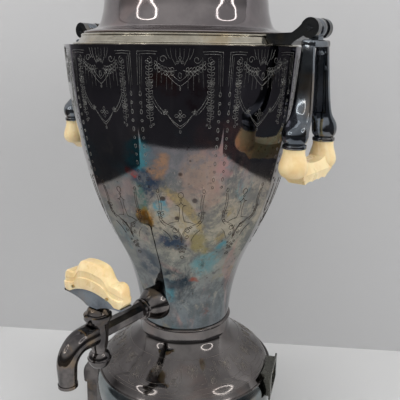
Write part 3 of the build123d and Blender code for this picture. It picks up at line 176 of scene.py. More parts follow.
def full_turn(bm, outline, center, axis, steps):
    """Spin an outline's vertices and edges once round an axis."""
    bmesh.ops.spin(
        bm,
        geom=outline,
        cent=center,
        axis=axis,
        angle=2 * pi,
        steps=steps,
        use_merge=True,
        use_duplicate=False,
    )


def spun(profile, axis_point=(0, 0, 0), axis=(0, 0, 1), steps=128):
    """A bmesh turned from a closed profile of (radius, height) pairs about an axis through a point."""
    bm = bmesh.new()
    along = Vector(axis).normalized()
    side = along.orthogonal().normalized() if abs(along.z) < 0.9 else Vector((1, 0, 0))
    base = Vector(axis_point)
    verts = [bm.verts.new(base + side * radius + along * height) for radius, height in profile]
    edges = [bm.edges.new(pair) for pair in zip(verts, verts[1:])]
    edges.append(bm.edges.new((verts[-1], verts[0])))
    full_turn(bm, verts + edges, base, along, steps)
    bmesh.ops.remove_doubles(bm, verts=bm.verts, dist=SPIN_WELD)
    return bm


def in_metres(pairs, foot=0.0):
    """Profile places from (radius, height) pairs in millimetres, the heights above a foot in metres."""
    return [Vector((radius * MM, foot + height * MM)) for radius, height in pairs]


def lining(line, drop=0.6 * SHEET):
    """The inner side of a sheet, set in from places on its outer line."""
    return [Vector((place.x - SHEET, place.y - drop)) for place in line]


class Nodes:
    """A node tree, with short calls for the nodes that the world and the materials share."""

    def __init__(self, tree):
        self.tree = tree

    def feed(self, value, socket):
        """Link an output to a socket, or set the socket to a plain value."""
        if isinstance(value, bpy.types.NodeSocket):
            self.tree.links.new(value, socket)
        else:
            socket.default_value = (*value, 1) if socket.type == "RGBA" else value

    def add(self, kind, output, sockets=None, **values):
        """Add a node with its own values, feed its sockets and give back one of its outputs."""
        node = self.tree.nodes.new(kind)
        for key, value in values.items():
            setattr(node, key, value)
        for key, value in (sockets or {}).items():
            self.feed(value, node.inputs[key])
        return node.outputs[output]

    def math(self, operation, first, second=0.5):
        return self.add("ShaderNodeMath", 0, {0: first, 1: second}, operation=operation)

    def times(self, first, *others):
        """Product of a value with others."""
        for other in others:
            first = self.math("MULTIPLY", first, other)
        return first

    def vector_math(self, operation, *values, output="Value"):
        sockets = dict(enumerate(values))
        return self.add("ShaderNodeVectorMath", output, sockets, operation=operation)

    def span(self, value, low, high, to_low=0.0, to_high=1.0):
        """Map a value from low..high to another range, held at its ends."""
        sockets = {"Value": value, "From Min": low, "From Max": high}
        sockets |= {"To Min": to_low, "To Max": to_high}
        return self.add("ShaderNodeMapRange", "Result", sockets, interpolation_type="SMOOTHSTEP")

    def upward(self, vector):
        """The Z part of a place or a direction."""
        return self.add("ShaderNodeSeparateXYZ", "Z", {0: vector})


class Paint(Nodes):
    """A material, with short calls for the textures and the shader that the finishes use."""

    def __init__(self, name):
        self.material = bpy.data.materials.new(name)
        self.material.use_nodes = True
        super().__init__(self.material.node_tree)
        self.shader = self.tree.nodes["Principled BSDF"]
        self.output = self.tree.nodes["Material Output"].inputs["Surface"]
        self.place = self.add("ShaderNodeTexCoord", "Object")

    def height(self):
        return self.upward(self.place)

    def scaled(self, scale, shift=(0, 0, 0)):
        sockets = {"Vector": self.place, "Scale": scale, "Location": shift}
        return self.add("ShaderNodeMapping", "Vector", sockets)

    def noise(self, scale, detail=4.0, rough=0.55, warp=0.0, vector=None, output="Fac"):
        sockets = {"Vector": vector or self.place, "Scale": scale, "Detail": detail}
        sockets |= {"Roughness": rough, "Distortion": warp}
        return self.add("ShaderNodeTexNoise", output, sockets)

    def ramp(self, value, stops):
        """Colour of a value from stops of (place, colour)."""
        node = self.tree.nodes.new("ShaderNodeValToRGB")
        elements = node.color_ramp.elements
        while len(elements) < len(stops):
            elements.new(0.5)
        for element, (place, color) in zip(elements, stops):
            element.position = place
            element.color = (*color, 1)
        self.feed(value, node.inputs["Fac"])
        return node.outputs["Color"]

    def mix(self, share, first, second):
        """Blend two colours, given as outputs or plain triples."""
        return self.add("ShaderNodeMix", 2, {0: share, 6: first, 7: second}, data_type="RGBA")

    def clouded(self, color, rough, scale, shade, swing):
        """A colour with darker clouds, and a roughness that swings about its own value."""
        clouds = self.span(self.noise(scale, 5, 0.6), 0.3, 0.7)
        base = self.mix(clouds, tuple(c * shade for c in color), color)
        wear = self.noise(scale * 2, 3)
        return base, self.span(wear, 0.3, 0.7, rough * (1 - swing), rough * (1 + swing))

    def bump(self, height, distance, strength):
        sockets = {"Height": height, "Distance": distance, "Strength": strength}
        self.feed(self.add("ShaderNodeBump", "Normal", sockets), self.shader.inputs["Normal"])

    def surface(self, color, roughness, metallic=0.0, **sockets):
        """Set the shader's sockets and give back the finished material."""
        sockets |= {"Base_Color": color, "Roughness": roughness, "Metallic": metallic}
        for key, value in sockets.items():
            self.feed(value, self.shader.inputs[key.replace("_", " ")])
        return self.material


# Stains on the front panels: place in millimetres, reach of the stain, how tall it runs, and its colour
STAINS = [
    ((25, -71, 235), 12, 1.7, (0.015, 0.035, 0.07)),
    ((21, -74, 249), 9, 1.3, (0.05, 0.2, 0.24)),
    ((18, -68, 219), 6, 1.6, (0.06, 0.16, 0.14)),
    ((18, -64, 206), 9, 0.9, (0.24, 0.14, 0.04)),
    ((29, -60, 212), 5, 1.0, (0.09, 0.27, 0.33)),
    ((26, -49, 184), 9, 0.8, (0.015, 0.04, 0.08)),
    ((15, -38, 147), 7, 1.5, (0.08, 0.25, 0.3)),
    ((22, -36, 153), 13, 0.8, (0.02, 0.035, 0.05)),
    ((41, -28, 169), 10, 1.3, (0.16, 0.33, 0.35)),
    ((50, -25, 184), 6, 1.0, (0.09, 0.28, 0.33)),
    ((63, -47, 246), 12, 2.0, (0.36, 0.21, 0.2)),
    ((52, -50, 232), 12, 1.6, (0.3, 0.22, 0.18)),
    ((31, -68, 241), 6, 1.8, (0.33, 0.19, 0.11)),
    ((42, -38, 184), 8, 1.2, (0.27, 0.23, 0.11)),
    ((31, -28, 153), 4, 0.9, (0.3, 0.08, 0.05)),
    ((14, -72, 235), 4, 0.9, (0.3, 0.05, 0.04)),
    ((7, -47, 166), 12, 1.4, (0.03, 0.055, 0.08)),
    ((41, -70, 291), 8, 1.1, (0.13, 0.055, 0.05)),
    ((57, -58, 288), 9, 1.3, (0.085, 0.05, 0.06)),
]
# Small dark spots, in millimetres
SPOTS = [(31, -62, 219), (42, -58, 236), (47, -50, 218), (24, -56, 198), (36, -54, 205)]

# Clouds below the dark shoulder: colour, stretch and shift of the noise, and where in it they start
CLOUDS = (
    ((0.1, 0.26, 0.3), (1, 1, 0.7), (0.13, 0.02, 0.31), 0.55),
    ((0.42, 0.26, 0.23), (1, 1, 0.5), (0.6, 0.4, 0.1), 0.54),
    ((0.03, 0.05, 0.09), (1, 1, 0.8), (0.25, 0.75, 0.9), 0.6),
    ((0.33, 0.25, 0.1), (1, 1, 0.8), (0.8, 0.15, 0.45), 0.58),
    ((0.28, 0.07, 0.04), (1, 1, 1.0), (0.33, 0.55, 0.21), 0.65),
)

# Heights in metres between which the body's tones run (dark at the top, partly as a painted
# reflection), its dark shoulder fades and its veins grow
TONES, SHOULDER_FADE, VEINS = (0.1, 0.3), (0.270, 0.235), (0.190, 0.150)
TONE_WANDER = 0.04

# Direction of the body's lit side, and where the painted shade starts and is full on the other side
LIT_SIDE, PAINTED_SHADE_RANGE = (0.78, 0.62, 0.0), (-0.010, -0.045)

# How far noise moves a stain, and where the stain fades, as shares of its reach
STAIN_DRIFT = (0.024, 0.024, 0.030)
STAIN_EDGE, STAIN_CORE = 1.25, 0.55


def body_plate():
    """Tarnished plate on the body: blue-black above, partly a painted dark reflection; worn grey with
    coloured stains and a painted shaded side below.
    """
    p = Paint("body_plate")
    wander = p.noise(14, 3, 0.5)
    height = p.math("ADD", p.height(), p.times(p.math("SUBTRACT", wander, 0.5), TONE_WANDER))
    # Tones by height: the blue-black top is tarnish and partly a painted dark reflection of the room
    base = p.ramp(
        p.span(height, *TONES),
        [
            (0.0, (0.17, 0.2, 0.22)),
            (0.16, (0.27, 0.29, 0.28)),
            (0.42, (0.4, 0.37, 0.29)),
            (0.66, (0.37, 0.32, 0.26)),
            (0.8, (0.2, 0.19, 0.2)),
            (1.00, (0.13, 0.12, 0.14)),
        ],
    )
    low = p.span(p.height(), *SHOULDER_FADE)

    # Clouds, mottles, dark veins and pale flecks below the shoulder, then painted shade on the side
    # away from the lit side
    for color, scale, shift, start in CLOUDS:
        patch = p.noise(19, 6, 0.65, 0.7, p.scaled(scale, shift))
        base = p.mix(p.times(p.span(patch, start, start + 0.07, 0, 0.75), low), base, color)
    mottle = p.span(p.noise(48, 8, 0.78, 0.3), 0.43, 0.58, 0.0, 0.72)
    base = p.mix(p.times(mottle, low), base, (0.1, 0.115, 0.12))
    streaky = p.noise(26, 7, 0.7, 1.4, p.scaled((1, 1, 0.7), (0.7, 0.3, 0.6)))
    veins = p.span(streaky, 0.56, 0.64, 0.0, 0.7)
    deep = p.span(p.height(), *VEINS, 0.25, 1.0)
    base = p.mix(p.times(veins, low, deep), base, (0.035, 0.045, 0.055))
    flecks = p.noise(75, 7, 0.75, 0.2, p.scaled((1, 1, 0.6), (0.5, 0.1, 0.2)))
    pale = p.span(flecks, 0.54, 0.66, 0.0, 0.5)
    base = p.mix(p.times(pale, low), base, (0.52, 0.47, 0.38))
    # Painted shade: below the shoulder, the side turned away from the lit side is darkened
    side = p.vector_math("DOT_PRODUCT", p.place, LIT_SIDE)
    shade = p.span(side, *PAINTED_SHADE_RANGE, 0.0, 0.55)
    base = p.mix(p.times(shade, low), base, (0.1, 0.11, 0.12))

    # Placed stains with drifting, broken edges, then the small spots
    broken = p.span(p.noise(110, 6, 0.75), 0.4, 0.54, 0.25, 1.0)
    drift = p.noise(55, 5, 0.5, output="Color")
    centered = tuple(-part / 2 for part in STAIN_DRIFT)
    for (x, y, z), reach, tall, color in STAINS:
        squeezed = p.scaled((1, 1, 1 / tall), centered)
        moved = p.vector_math("MULTIPLY_ADD", drift, STAIN_DRIFT, squeezed, output="Vector")
        gap = p.vector_math("DISTANCE", moved, (x * MM, y * MM, z * MM / tall))
        share = p.span(gap, reach * STAIN_EDGE * MM, reach * STAIN_CORE * MM, 0.0, 0.95)
        base = p.mix(p.times(share, broken), base, color)
    for place in SPOTS:
        gap = p.vector_math("DISTANCE", p.place, Vector(place) * MM)
        base = p.mix(p.span(gap, 2.2 * MM, 1.2 * MM, 0.0, 0.85), base, (0.04, 0.025, 0.02))

    # Scattered specks, grit, fine tarnish and upright wiping streaks
    speck = p.add("ShaderNodeTexVoronoi", "Distance", {"Vector": p.place, "Scale": 190})
    rare = p.span(p.noise(60, 1), 0.54, 0.6)
    base = p.mix(p.times(p.span(speck, 0.17, 0.1), rare, 0.7), base, (0.05, 0.035, 0.03))
    grit = p.span(p.noise(420, 3, 0.7), 0.58, 0.7, 0.0, 0.45)
    base = p.mix(p.times(grit, low), base, (0.08, 0.07, 0.06))
    base = p.mix(p.span(p.noise(60, 6, 0.7), 0.4, 0.72, 0.0, 0.4), base, (0.1, 0.1, 0.11))
    streak = p.noise(70, 3, 0.6, 0.2, p.scaled((1, 1, 0.06)))
    base = p.mix(p.span(streak, 0.5, 0.72, 0.0, 0.3), base, (0.3, 0.29, 0.29))
    rough = p.span(p.noise(30, 4), 0.3, 0.7, 0.035, 0.1)
    p.bump(p.noise(700, 3, 0.6), 0.02 * MM, 0.22)
    return p.surface(base, rough, 1.0)


def chasing_wire(name, high, low):
    """The chased lines: pale where the plate is dark above, partly as painted glints, brown where it is
    pale below.
    """
    p = Paint(name)
    # The pale upper tone is partly a painted glint along the raised lines
    tone = p.mix(p.span(p.height(), 0.225, 0.262), low, high)
    broken = p.span(p.noise(240, 3, 0.6), 0.42, 0.62, 0.0, 0.7)
    dim = p.mix(0.62, tone, (0.03, 0.03, 0.035))
    return p.surface(p.mix(broken, tone, dim), p.span(p.noise(90, 2), 0.3, 0.7, 0.22, 0.36), 0.9)


def plate(name, dark, light, warm, rough_low=0.08, rough_high=0.2, scale=40):
    """Tarnished plate on smaller pieces: two greys and a warm stain in clouds."""
    p = Paint(name)
    base = p.mix(p.span(p.noise(scale, 5, 0.6), 0.35, 0.65), dark, light)
    cloud = p.noise(scale * 0.6, 4, 0.6, 0.5, p.scaled((1, 1, 1), (0.4, 0.2, 0.7)))
    base = p.mix(p.times(p.span(cloud, 0.52, 0.68), 0.6), base, warm)
    rough = p.span(p.noise(scale * 1.7, 4), 0.3, 0.7, rough_low, rough_high)
    p.bump(p.noise(scale * 25, 3, 0.6), 0.02 * MM, 0.3)
    return p.surface(base, rough, 1.0)


def cream_resin():
    """Cast cream resin: butterscotch clouds and faint lines under a soft polish."""
    p = Paint("cream_resin")
    cloud = p.noise(70, 4, 0.5, 0.4)
    base = p.mix(p.span(cloud, 0.35, 0.7), (0.8, 0.64, 0.36), (0.7, 0.5, 0.24))
    streak = p.noise(30, 3, 0.5, 1.2, p.scaled((6, 6, 1)))
    base = p.mix(p.span(streak, 0.5, 0.75, 0.0, 0.4), base, (0.86, 0.74, 0.5))
    rough = p.span(p.noise(120, 3), 0.3, 0.7, 0.26, 0.4)
    p.bump(p.noise(260, 3), 0.05 * MM, 0.3)
    soft = {"Subsurface_Weight": 0.12, "Subsurface_Scale": 0.004}
    return p.surface(base, rough, Coat_Weight=0.25, Coat_Roughness=0.2, **soft)


def plain_metal(name, color, rough, scale=60):
    """A worn plain metal for pins and inner parts, with a faint grain and cloudy wear."""
    p = Paint(name)
    p.bump(p.noise(400, 2, 0.5, 0, p.scaled((1, 1, 0.05))), 0.02 * MM, 0.4)
    return p.surface(*p.clouded(color, rough, scale, 0.7, 0.3), 1.0)


def matte(name, color, rough, scale=80, metallic=0.0):
    """Rubber, enamel, mica, sleeving or glaze: one colour broken by fine clouds."""
    p = Paint(name)
    p.bump(p.noise(scale * 6, 3), 0.05 * MM, 0.4)
    return p.surface(*p.clouded(color, rough, scale, 0.65, 0.2), metallic)


def clear_glass():
    """Clear glass for the knob, with faint smears in its polish."""
    p = Paint("clear_glass")
    rough = p.span(p.noise(50, 3), 0.4, 0.7, 0.0, 0.04)
    tint = p.mix(p.noise(35, 2), (0.97, 0.99, 0.98), (0.93, 0.96, 0.95))
    return p.surface(tint, rough, Transmission_Weight=1.0, IOR=1.5)


BODY_PLATE = body_plate()
CHASING = chasing_wire("body_chasing_finish", (0.4, 0.4, 0.38), (0.07, 0.05, 0.04))
DOME_CHASING = chasing_wire("dome_chasing_finish", (0.3, 0.27, 0.24), (0.3, 0.27, 0.24))
LID_PLATE = plate(
    "lid_plate", (0.2, 0.18, 0.185), (0.31, 0.28, 0.28), (0.33, 0.25, 0.24), 0.05, 0.11, 22
)
BASE_PLATE = plate(
    "base_plate_finish", (0.11, 0.1, 0.1), (0.21, 0.195, 0.19), (0.22, 0.16, 0.14), 0.05, 0.12, 30
)
SKIRT_PLATE = plate(
    "skirt_plate", (0.13, 0.155, 0.165), (0.26, 0.29, 0.295), (0.3, 0.26, 0.22), 0.08, 0.18, 45
)
BRACKET_PLATE = plate(
    "bracket_plate", (0.1, 0.11, 0.125), (0.2, 0.205, 0.21), (0.3, 0.24, 0.15), 0.06, 0.14, 55
)
COLLAR_PLATE = plate("collar_plate", (0.36, 0.33, 0.27), (0.58, 0.54, 0.45), (0.46, 0.36, 0.22))
CAST_PLATE = plate(
    "cast_plate", (0.075, 0.07, 0.072), (0.19, 0.175, 0.17), (0.28, 0.2, 0.12), 0.06, 0.14, 70
)
DARK_PLATE = plate(
    "dark_plate", (0.11, 0.125, 0.145), (0.22, 0.245, 0.275), (0.24, 0.18, 0.12), 0.06, 0.14, 60
)
TRIM_PLATE = plate("trim_plate", (0.4, 0.4, 0.4), (0.62, 0.61, 0.59), (0.45, 0.38, 0.3))
PIN_STEEL = plain_metal("pin_steel", (0.1, 0.105, 0.115), 0.22, 150)
RESIN = cream_resin()
GLASS = clear_glass()

# One finish for each slot, and the nodes whose own finish differs from their slot's
FINISHES = {
    "plated_body": BODY_PLATE,
    "plated_lid": LID_PLATE,
    "plated_base": BASE_PLATE,
    "collar_brass": COLLAR_PLATE,
    "plated_trim": TRIM_PLATE,
    "plated_cast": CAST_PLATE,
    "dark_cast": DARK_PLATE,
    "cream_resin": RESIN,
    "clear_glass": GLASS,
    "steel_plate": plain_metal("steel_sheet", (0.45, 0.45, 0.45), 0.35),
    "steel_fastener": plain_metal("steel_fastener", (0.32, 0.33, 0.35), 0.25, 150),
    "tinned_brass": plain_metal("tinned_brass", (0.62, 0.58, 0.5), 0.3),
    "black_rubber": matte("black_rubber", (0.03, 0.03, 0.03), 0.7),
    "mica_band": matte("mica_band", (0.5, 0.45, 0.33), 0.5),
    "bare_brass": plain_metal("bare_brass", (0.7, 0.55, 0.28), 0.25, 120),
    "lead_sleeve": matte("lead_sleeve", (0.62, 0.56, 0.45), 0.8, 200),
    "inlet_metal": matte("inlet_enamel", (0.1, 0.1, 0.085), 0.28, 90, 0.6),
    "porcelain": matte("porcelain", (0.72, 0.7, 0.64), 0.2),
    "bare_aluminium": plain_metal("bare_aluminium", (0.7, 0.71, 0.72), 0.32),
}
OWN_FINISHES = {
    "bracket_right": BRACKET_PLATE,
    "bracket_left": BRACKET_PLATE,
    "hinge_pin_right": PIN_STEEL,
    "hinge_pin_left": PIN_STEEL,
    "base_skirt": SKIRT_PLATE,
}

for entry in frame["record"]["subparts"]:
    node = frame["nodes"][entry["node"]]
    node.data.materials.clear()
    node.data.materials.append(OWN_FINISHES.get(entry["node"]) or FINISHES[entry["material_slot"]])


# Mesh of the body: steps across a panel, rows up its outside and down its inside, and its small edges
PANEL_STEPS = 40
OUTER_ROWS = 150
INNER_ROWS = 40
SHOULDER_EDGE = 3 * MM
MOUTH_BEVEL = 0.5 * MM
MOUTH_BEVEL_DROP = 0.2 * MM


def build_body():
    """The ten-panel body as one closed shell: outside, flat shoulder, mouth, inside and floor."""
    under, floor = SHOULDER - SHEET, SEAM + SHEET
    outer = [SEAM + (SHOULDER - SEAM) * k / OUTER_ROWS for k in range(OUTER_ROWS + 1)]
    inner = [under - (under - SEAM - SHEET) * k / INNER_ROWS for k in range(INNER_ROWS + 1)]
    # A skin row has an inset from the body's skin, a panel row a crease radius, and a ring row a radius
    rows = [
        *[("skin", height, 0.0) for height in outer],
        ("panel", SHOULDER, SHOULDER_RADIUS - SHOULDER_EDGE),
        ("ring", SHOULDER, MOUTH_RADIUS + MOUTH_BEVEL),
        ("ring", SHOULDER - MOUTH_BEVEL_DROP, MOUTH_RADIUS),
        ("ring", under, MOUTH_RADIUS),
        *[("skin", height, SHEET) for height in inner],
        ("ring", floor, FLOOR_HOLE),
        ("ring", SEAM, FLOOR_HOLE),
    ]
    bm = bmesh.new()
    bmesh.ops.create_grid(bm, x_segments=PANELS * PANEL_STEPS, y_segments=len(rows), size=0.5)
    for vert in bm.verts:
        turn = (vert.co.x + 0.5) * 2 * pi
        kind, height, size = rows[round((vert.co.y + 0.5) * len(rows)) % len(rows)]
        panel = round(turn / (2 * pi / PANELS))
        angle = turn - panel * 2 * pi / PANELS
        if kind == "skin":
            reach = panel_radius(angle, crease_radius(height), fullness_at(height)) - size
        elif kind == "panel":
            reach = panel_radius(angle, size, PANEL_FULLNESS)
        else:
            reach = size
        vert.co = Vector((reach * sin(turn), -reach * cos(turn), height))
    return finish_mesh("body_panels", bm, "urn", BODY_PLATE, ["body_shell"], 50)


def rounded_ring(center, first, second, corner, points=32):
    """Places on a rounded outline with half-sizes along two directions, squarer as corner grows."""
    ring = []
    for k in range(points):
        a = 2 * pi * (k + 0.5) / points
        across = copysign(abs(cos(a)) ** (2 / corner), cos(a))
        along = copysign(abs(sin(a)) ** (2 / corner), sin(a))
        ring.append(center + first * across + second * along)
    return ring


def lofted(bm, rings):
    """Join rings of places into one closed skin with flat ends, and give back its faces row by row."""
    rows = [[bm.verts.new(place) for place in ring] for ring in rings]
    count = len(rows[0])
    faces = [
        [bm.faces.new((low[k - 1], low[k], high[k], high[k - 1])) for k in range(count)]
        for low, high in zip(rows, rows[1:])
    ]
    bm.faces.new(rows[0])
    bm.faces.new(rows[-1])
    return faces


# Sections down a yoke's arm: drop below the hinge, step from the middle, half-sizes and squareness
ARM_SECTIONS = [
    (7.2, 9.2, 3.5, 2.5, 3.0),
    (12.0, 9.7, 3.9, 2.7, 3.6),
    (20.0, 10.1, 4.4, 2.7, 3.8),
    (30.0, 10.8, 5.1, 2.7, 3.8),
    (40.0, 11.8, 5.7, 2.9, 3.6),
    (47.0, 13.0, 6.2, 3.5, 3.2),
    (51.5, 14.4, 6.7, 4.6, 2.8),
    (54.5, 16.6, 7.2, 6.4, 2.4),
    (57.0, 18.7, 7.7, 7.8, 2.1),
    (60.0, 19.8, 8.0, 8.2, 2.0),
    (62.6, 20.0, 7.9, 7.9, 2.0),
    (64.8, 20.0, 7.2, 7.2, 2.0),
    (66.2, 20.0, 6.1, 6.1, 2.0),
]
# Rings of the ferrule at the arm's end: drop below the hinge and radius
FERRULE_SECTIONS = [
    *[(65.9, 6.1), (66.4, 6.2), (66.6, 6.9), (67.1, 7.2)],
    *[(68.5, 7.2), (69.0, 6.8), (69.1, 6.4)],
]
# Knuckle on the pin: radius and place along it; one side of the bridge: place and share of its size
KNUCKLE_LINE = [(2.4, -5.1), (5.1, -5.1), (5.6, -4.6), (5.6, 4.6), (5.1, 5.1), (2.4, 5.1)]
BRIDGE_SIDE = [(5.0, 1.0), (11.0, 1.0), (11.8, 0.85), (12.1, 0.55)]
BRIDGE_DROP = 8.9
BOOT_STEP = 20
# The hollow in an arm's inner face: where it runs, its rim, its depth and how far in that face begins
HOLLOW_START, HOLLOW_END = 13.0, 50.0
HOLLOW_RIM, HOLLOW_DEPTH, INNER_FACE = 0.9, 1.1, 0.8


def build_yoke(name):
    """Cast yoke: a knuckle on the pin, a bridge, and two hollowed arms that end in round boots."""
    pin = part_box("hinge_pin_" + name)
    hinge = Vector(((pin[0].x + pin[1].x) / 2, 0, (pin[0].z + pin[1].z) / 2))
    x, y, z = Vector((MM, 0, 0)), Vector((0, MM, 0)), Vector((0, 0, MM))
    bm = spun([(radius * MM, far * MM) for radius, far in KNUCKLE_LINE], hinge, (0, 1, 0), 48)
    lofted(bm, [rounded_ring(hinge - z * drop, x * 3.1, y * 5.0, 4) for drop in (4.2, 6.0, 8.0)])
    middle, wide, tall = hinge - z * BRIDGE_DROP, x * 4.1, z * 2.4
    bridge = [(-far, size) for far, size in reversed(BRIDGE_SIDE)] + BRIDGE_SIDE
    lofted(bm, [rounded_ring(middle + y * far, wide * n, tall * n, 3.4) for far, n in bridge])
    for arm in (1, -1):
        out = y * arm
        sections = flowing(ARM_SECTIONS, 4)
        rings = [
            rounded_ring(hinge - z * drop + out * step, x * wide, out * deep, corner)
            for drop, step, wide, deep, corner in sections
        ]
        rows = lofted(bm, rings)
        bm.normal_update()
        inner = []
        for row, (drop, step, _, deep, _) in zip(rows, sections):
            if HOLLOW_START < drop < HOLLOW_END:
                limit = step * MM - INNER_FACE * deep * MM
                inner += [face for face in row if face.calc_center_median().y * arm < limit]
        bmesh.ops.inset_region(
            bm, faces=inner, thickness=HOLLOW_RIM * MM, depth=0.0, use_even_offset=True
        )
        sunk = list({vert for face in inner for vert in face.verts})
        bmesh.ops.translate(bm, verts=sunk, vec=out * HOLLOW_DEPTH)
        boot = hinge + out * BOOT_STEP
        lofted(bm, [rounded_ring(boot - z * drop, x * r, y * r, 2) for drop, r in FERRULE_SECTIONS])
    body, part = "handle_" + name, "yoke_" + name
    return finish_mesh("cast_yoke_" + name, bm, body, DARK_PLATE, [part], 50)


# Half of the lever grip, from its middle: place along it, top, half-width and half-width of the top
LEVER_SECTIONS = [
    (0.0, 24.3, 6.7, 3.6),
    (5.0, 24.0, 6.7, 3.5),
    (9.5, 23.0, 6.5, 3.4),
    (12.2, 20.8, 6.2, 3.1),
    (14.2, 17.0, 5.9, 3.2),
    (17.0, 13.9, 5.8, 3.8),
    (20.5, 14.3, 6.2, 4.6),
    (23.5, 13.7, 6.1, 4.4),
    (25.8, 11.4, 5.0, 3.3),
    (27.0, 8.6, 3.4, 1.8),
]
# Arch under the grip: its rise and half-length; then where its tips lift, and how steeply
ARCH_RISE, ARCH_HALF = 5.6, 20.5
TIP_START, TIP_SLOPE = 25.0, 1.4


def build_lever_grip():
    """Carved grip of the tap key: knobbed ends, a raised middle and stepped grooves in its flanks."""
    low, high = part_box("lever_grip")
    middle = (low + high) / 2
    half = [Vector(row) for row in flowing(LEVER_SECTIONS, 4)]
    rows = [Vector((-r[0], r[1], r[2], r[3])) for r in reversed(half[1:])] + half
    rings = []
    for far, top, wide, crown in rows:
        arch = max(0.0, ARCH_RISE * (1 - (far / ARCH_HALF) ** 2))
        lift = max(0.0, (abs(far) - TIP_START) * TIP_SLOPE)
        foot = arch + lift
        rib = foot + (top - foot) * 0.42
        # One flank, from the foot up over the rib and the stepped groove to the crown
        flank = [
            (wide * 0.84, foot),
            (wide, foot + (rib - foot) * 0.35),
            (wide, rib),
            (wide - 0.8, rib + 0.5),
            (wide - 1.1, rib + (top - rib) * 0.35),
            (wide - 0.7, rib + (top - rib) * 0.45),
            (crown + 0.5, top - 1.0),
            (crown - 0.6, top),
        ]
        outline = flank + [(-across, up) for across, up in reversed(flank)]
        x = middle.x + far * MM
        rings.append([Vector((x, middle.y + side * MM, low.z + up * MM)) for side, up in outline])
    bm = bmesh.new()
    lofted(bm, rings)
    return finish_mesh("carved_lever_grip", bm, "tap_key", RESIN, ["lever_grip"], 28)


LID_WAIST = 55.4 * MM


def build_lid():
    """Lid bell with its rolled foot."""
    tall = LID_TOP - LID_FOOT
    bell = flowing(
        [
            (KNOB_HOLE, LID_TOP),
            (27.0 * MM, LID_TOP - 0.1 * MM),
            (LID_WAIST - 12.0 * MM, LID_FOOT + tall * 0.90),
            (LID_WAIST - 2.0 * MM, LID_FOOT + tall * 0.70),
            (LID_WAIST, LID_FOOT + tall * 0.42),
            (LID_WAIST + 1.5 * MM, LID_FOOT + tall * 0.24),
            (LID_WAIST + 4.8 * MM, LID_FOOT + tall * 0.085),
            (67.6 * MM, LID_FOOT + 1.7 * MM),
        ],
        8,
    )
    lip = [(69.2, 1.25), (69.6, 0.8), (69.4, 0.25), (69.0, 0.0), (67.2, 0.0), (64.5, 1.2)]
    inside = [*lining(bell[-6:0:-3]), Vector((KNOB_HOLE, LID_TOP - SHEET))]
    bm = spun(bell + in_metres(lip, LID_FOOT) + inside)
    return finish_mesh("lid_bell", bm, "lid", LID_PLATE, ["lid_shell"])


# Collar's foot, rolled edge and cone: radius and height above the shoulder
COLLAR_LINE = [
    *[(77.3, 0.1), (77.4, 0.8), (76.6, 1.3), (74.6, 1.5)],
    *[(73.4, 2.4), (72.2, 4.2), (71.4, 5.4), (71.7, 6.2)],
]


def build_collar():
    """Brassy collar: a foot with a bright rolled edge, a hollow cone and a rounded rim."""
    rim = [(radius, COLLAR_TOP) for radius in (71.0 * MM, 69.6 * MM, COLLAR_INSIDE)]
    outline = flowing(in_metres(COLLAR_LINE, SHOULDER) + rim, 5)
    under = COLLAR_TOP - SHEET
    inside = [(COLLAR_INSIDE, under), (70.0 * MM, under), (73.6 * MM, SHOULDER)]
    bm = spun(outline + inside)
    return finish_mesh("collar_band", bm, "urn", COLLAR_PLATE, ["collar_ring"])


# Base dome: its outside line from the seam with the body down to its rim
RIM_RADIUS = 67.5 * MM
DOME_HEIGHT = 43.0 * MM
DOME_STEPS = 10
DOME_LINE = flowing(
    [
        (34.4 * MM, SEAM),
        (35.6 * MM, SEAM - 1.0 * MM),
        (34.9 * MM, SEAM - 2.6 * MM),
        (35.2 * MM, SEAM - 8.5 * MM),
        (36.8 * MM, RIM + DOME_HEIGHT * 0.70),
        (RIM_RADIUS * 0.62, RIM + DOME_HEIGHT * 0.575),
        (RIM_RADIUS * 0.785, RIM + DOME_HEIGHT * 0.375),
        (RIM_RADIUS * 0.92, RIM + DOME_HEIGHT * 0.21),
        (RIM_RADIUS, RIM + 1.6 * MM),
    ],
    DOME_STEPS,
)
DOME_FLARE = 4 * DOME_STEPS


def dome_point(turn, radius):
    """Place on the dome's skin at a turn from the tap and a distance from the axis."""
    for high, low in zip(DOME_LINE[DOME_FLARE:], DOME_LINE[DOME_FLARE + 1 :]):
        if radius <= low.x:
            break
    t = (radius - high.x) / (low.x - high.x)
    return Vector((radius * sin(turn), -radius * cos(turn), high.y + (low.y - high.y) * t))


# Hole for the inlet's sleeve: the side it faces, the middle of its cutter, and the cutter's size
INLET_TURN = radians(22)
INLET_REACH, INLET_HEIGHT = 67, 62.3
INLET_CUT = (40, 27, 18.6)


def cut_inlet(piece):
    """Cut the inlet's sleeve hole through a spun sheet."""
    cutter_bm = bmesh.new()
    bmesh.ops.create_cube(cutter_bm, size=1.0)
    x, y = INLET_REACH * cos(INLET_TURN), INLET_REACH * sin(INLET_TURN)
    place = Matrix.Translation(Vector((x, y, INLET_HEIGHT)) * MM)
    stretch = Matrix.Diagonal((*[side * MM for side in INLET_CUT], 1))
    set_in_place = place @ Matrix.Rotation(INLET_TURN, 4, "Z") @ stretch
    bmesh.ops.transform(cutter_bm, matrix=set_in_place, verts=cutter_bm.verts)
    cutter = placed_mesh("inlet_cutter", cutter_bm)
    cut = piece.modifiers.new("inlet_hole", "BOOLEAN")
    cut.object = cutter
    cut.operation = "DIFFERENCE"
    cut.solver = "EXACT"
    evaluated = piece.evaluated_get(bpy.context.evaluated_depsgraph_get())
    dressed = bpy.data.meshes.new_from_object(evaluated)
    piece.modifiers.clear()
    piece.data = dressed
    bpy.data.objects.remove(cutter)
    return piece


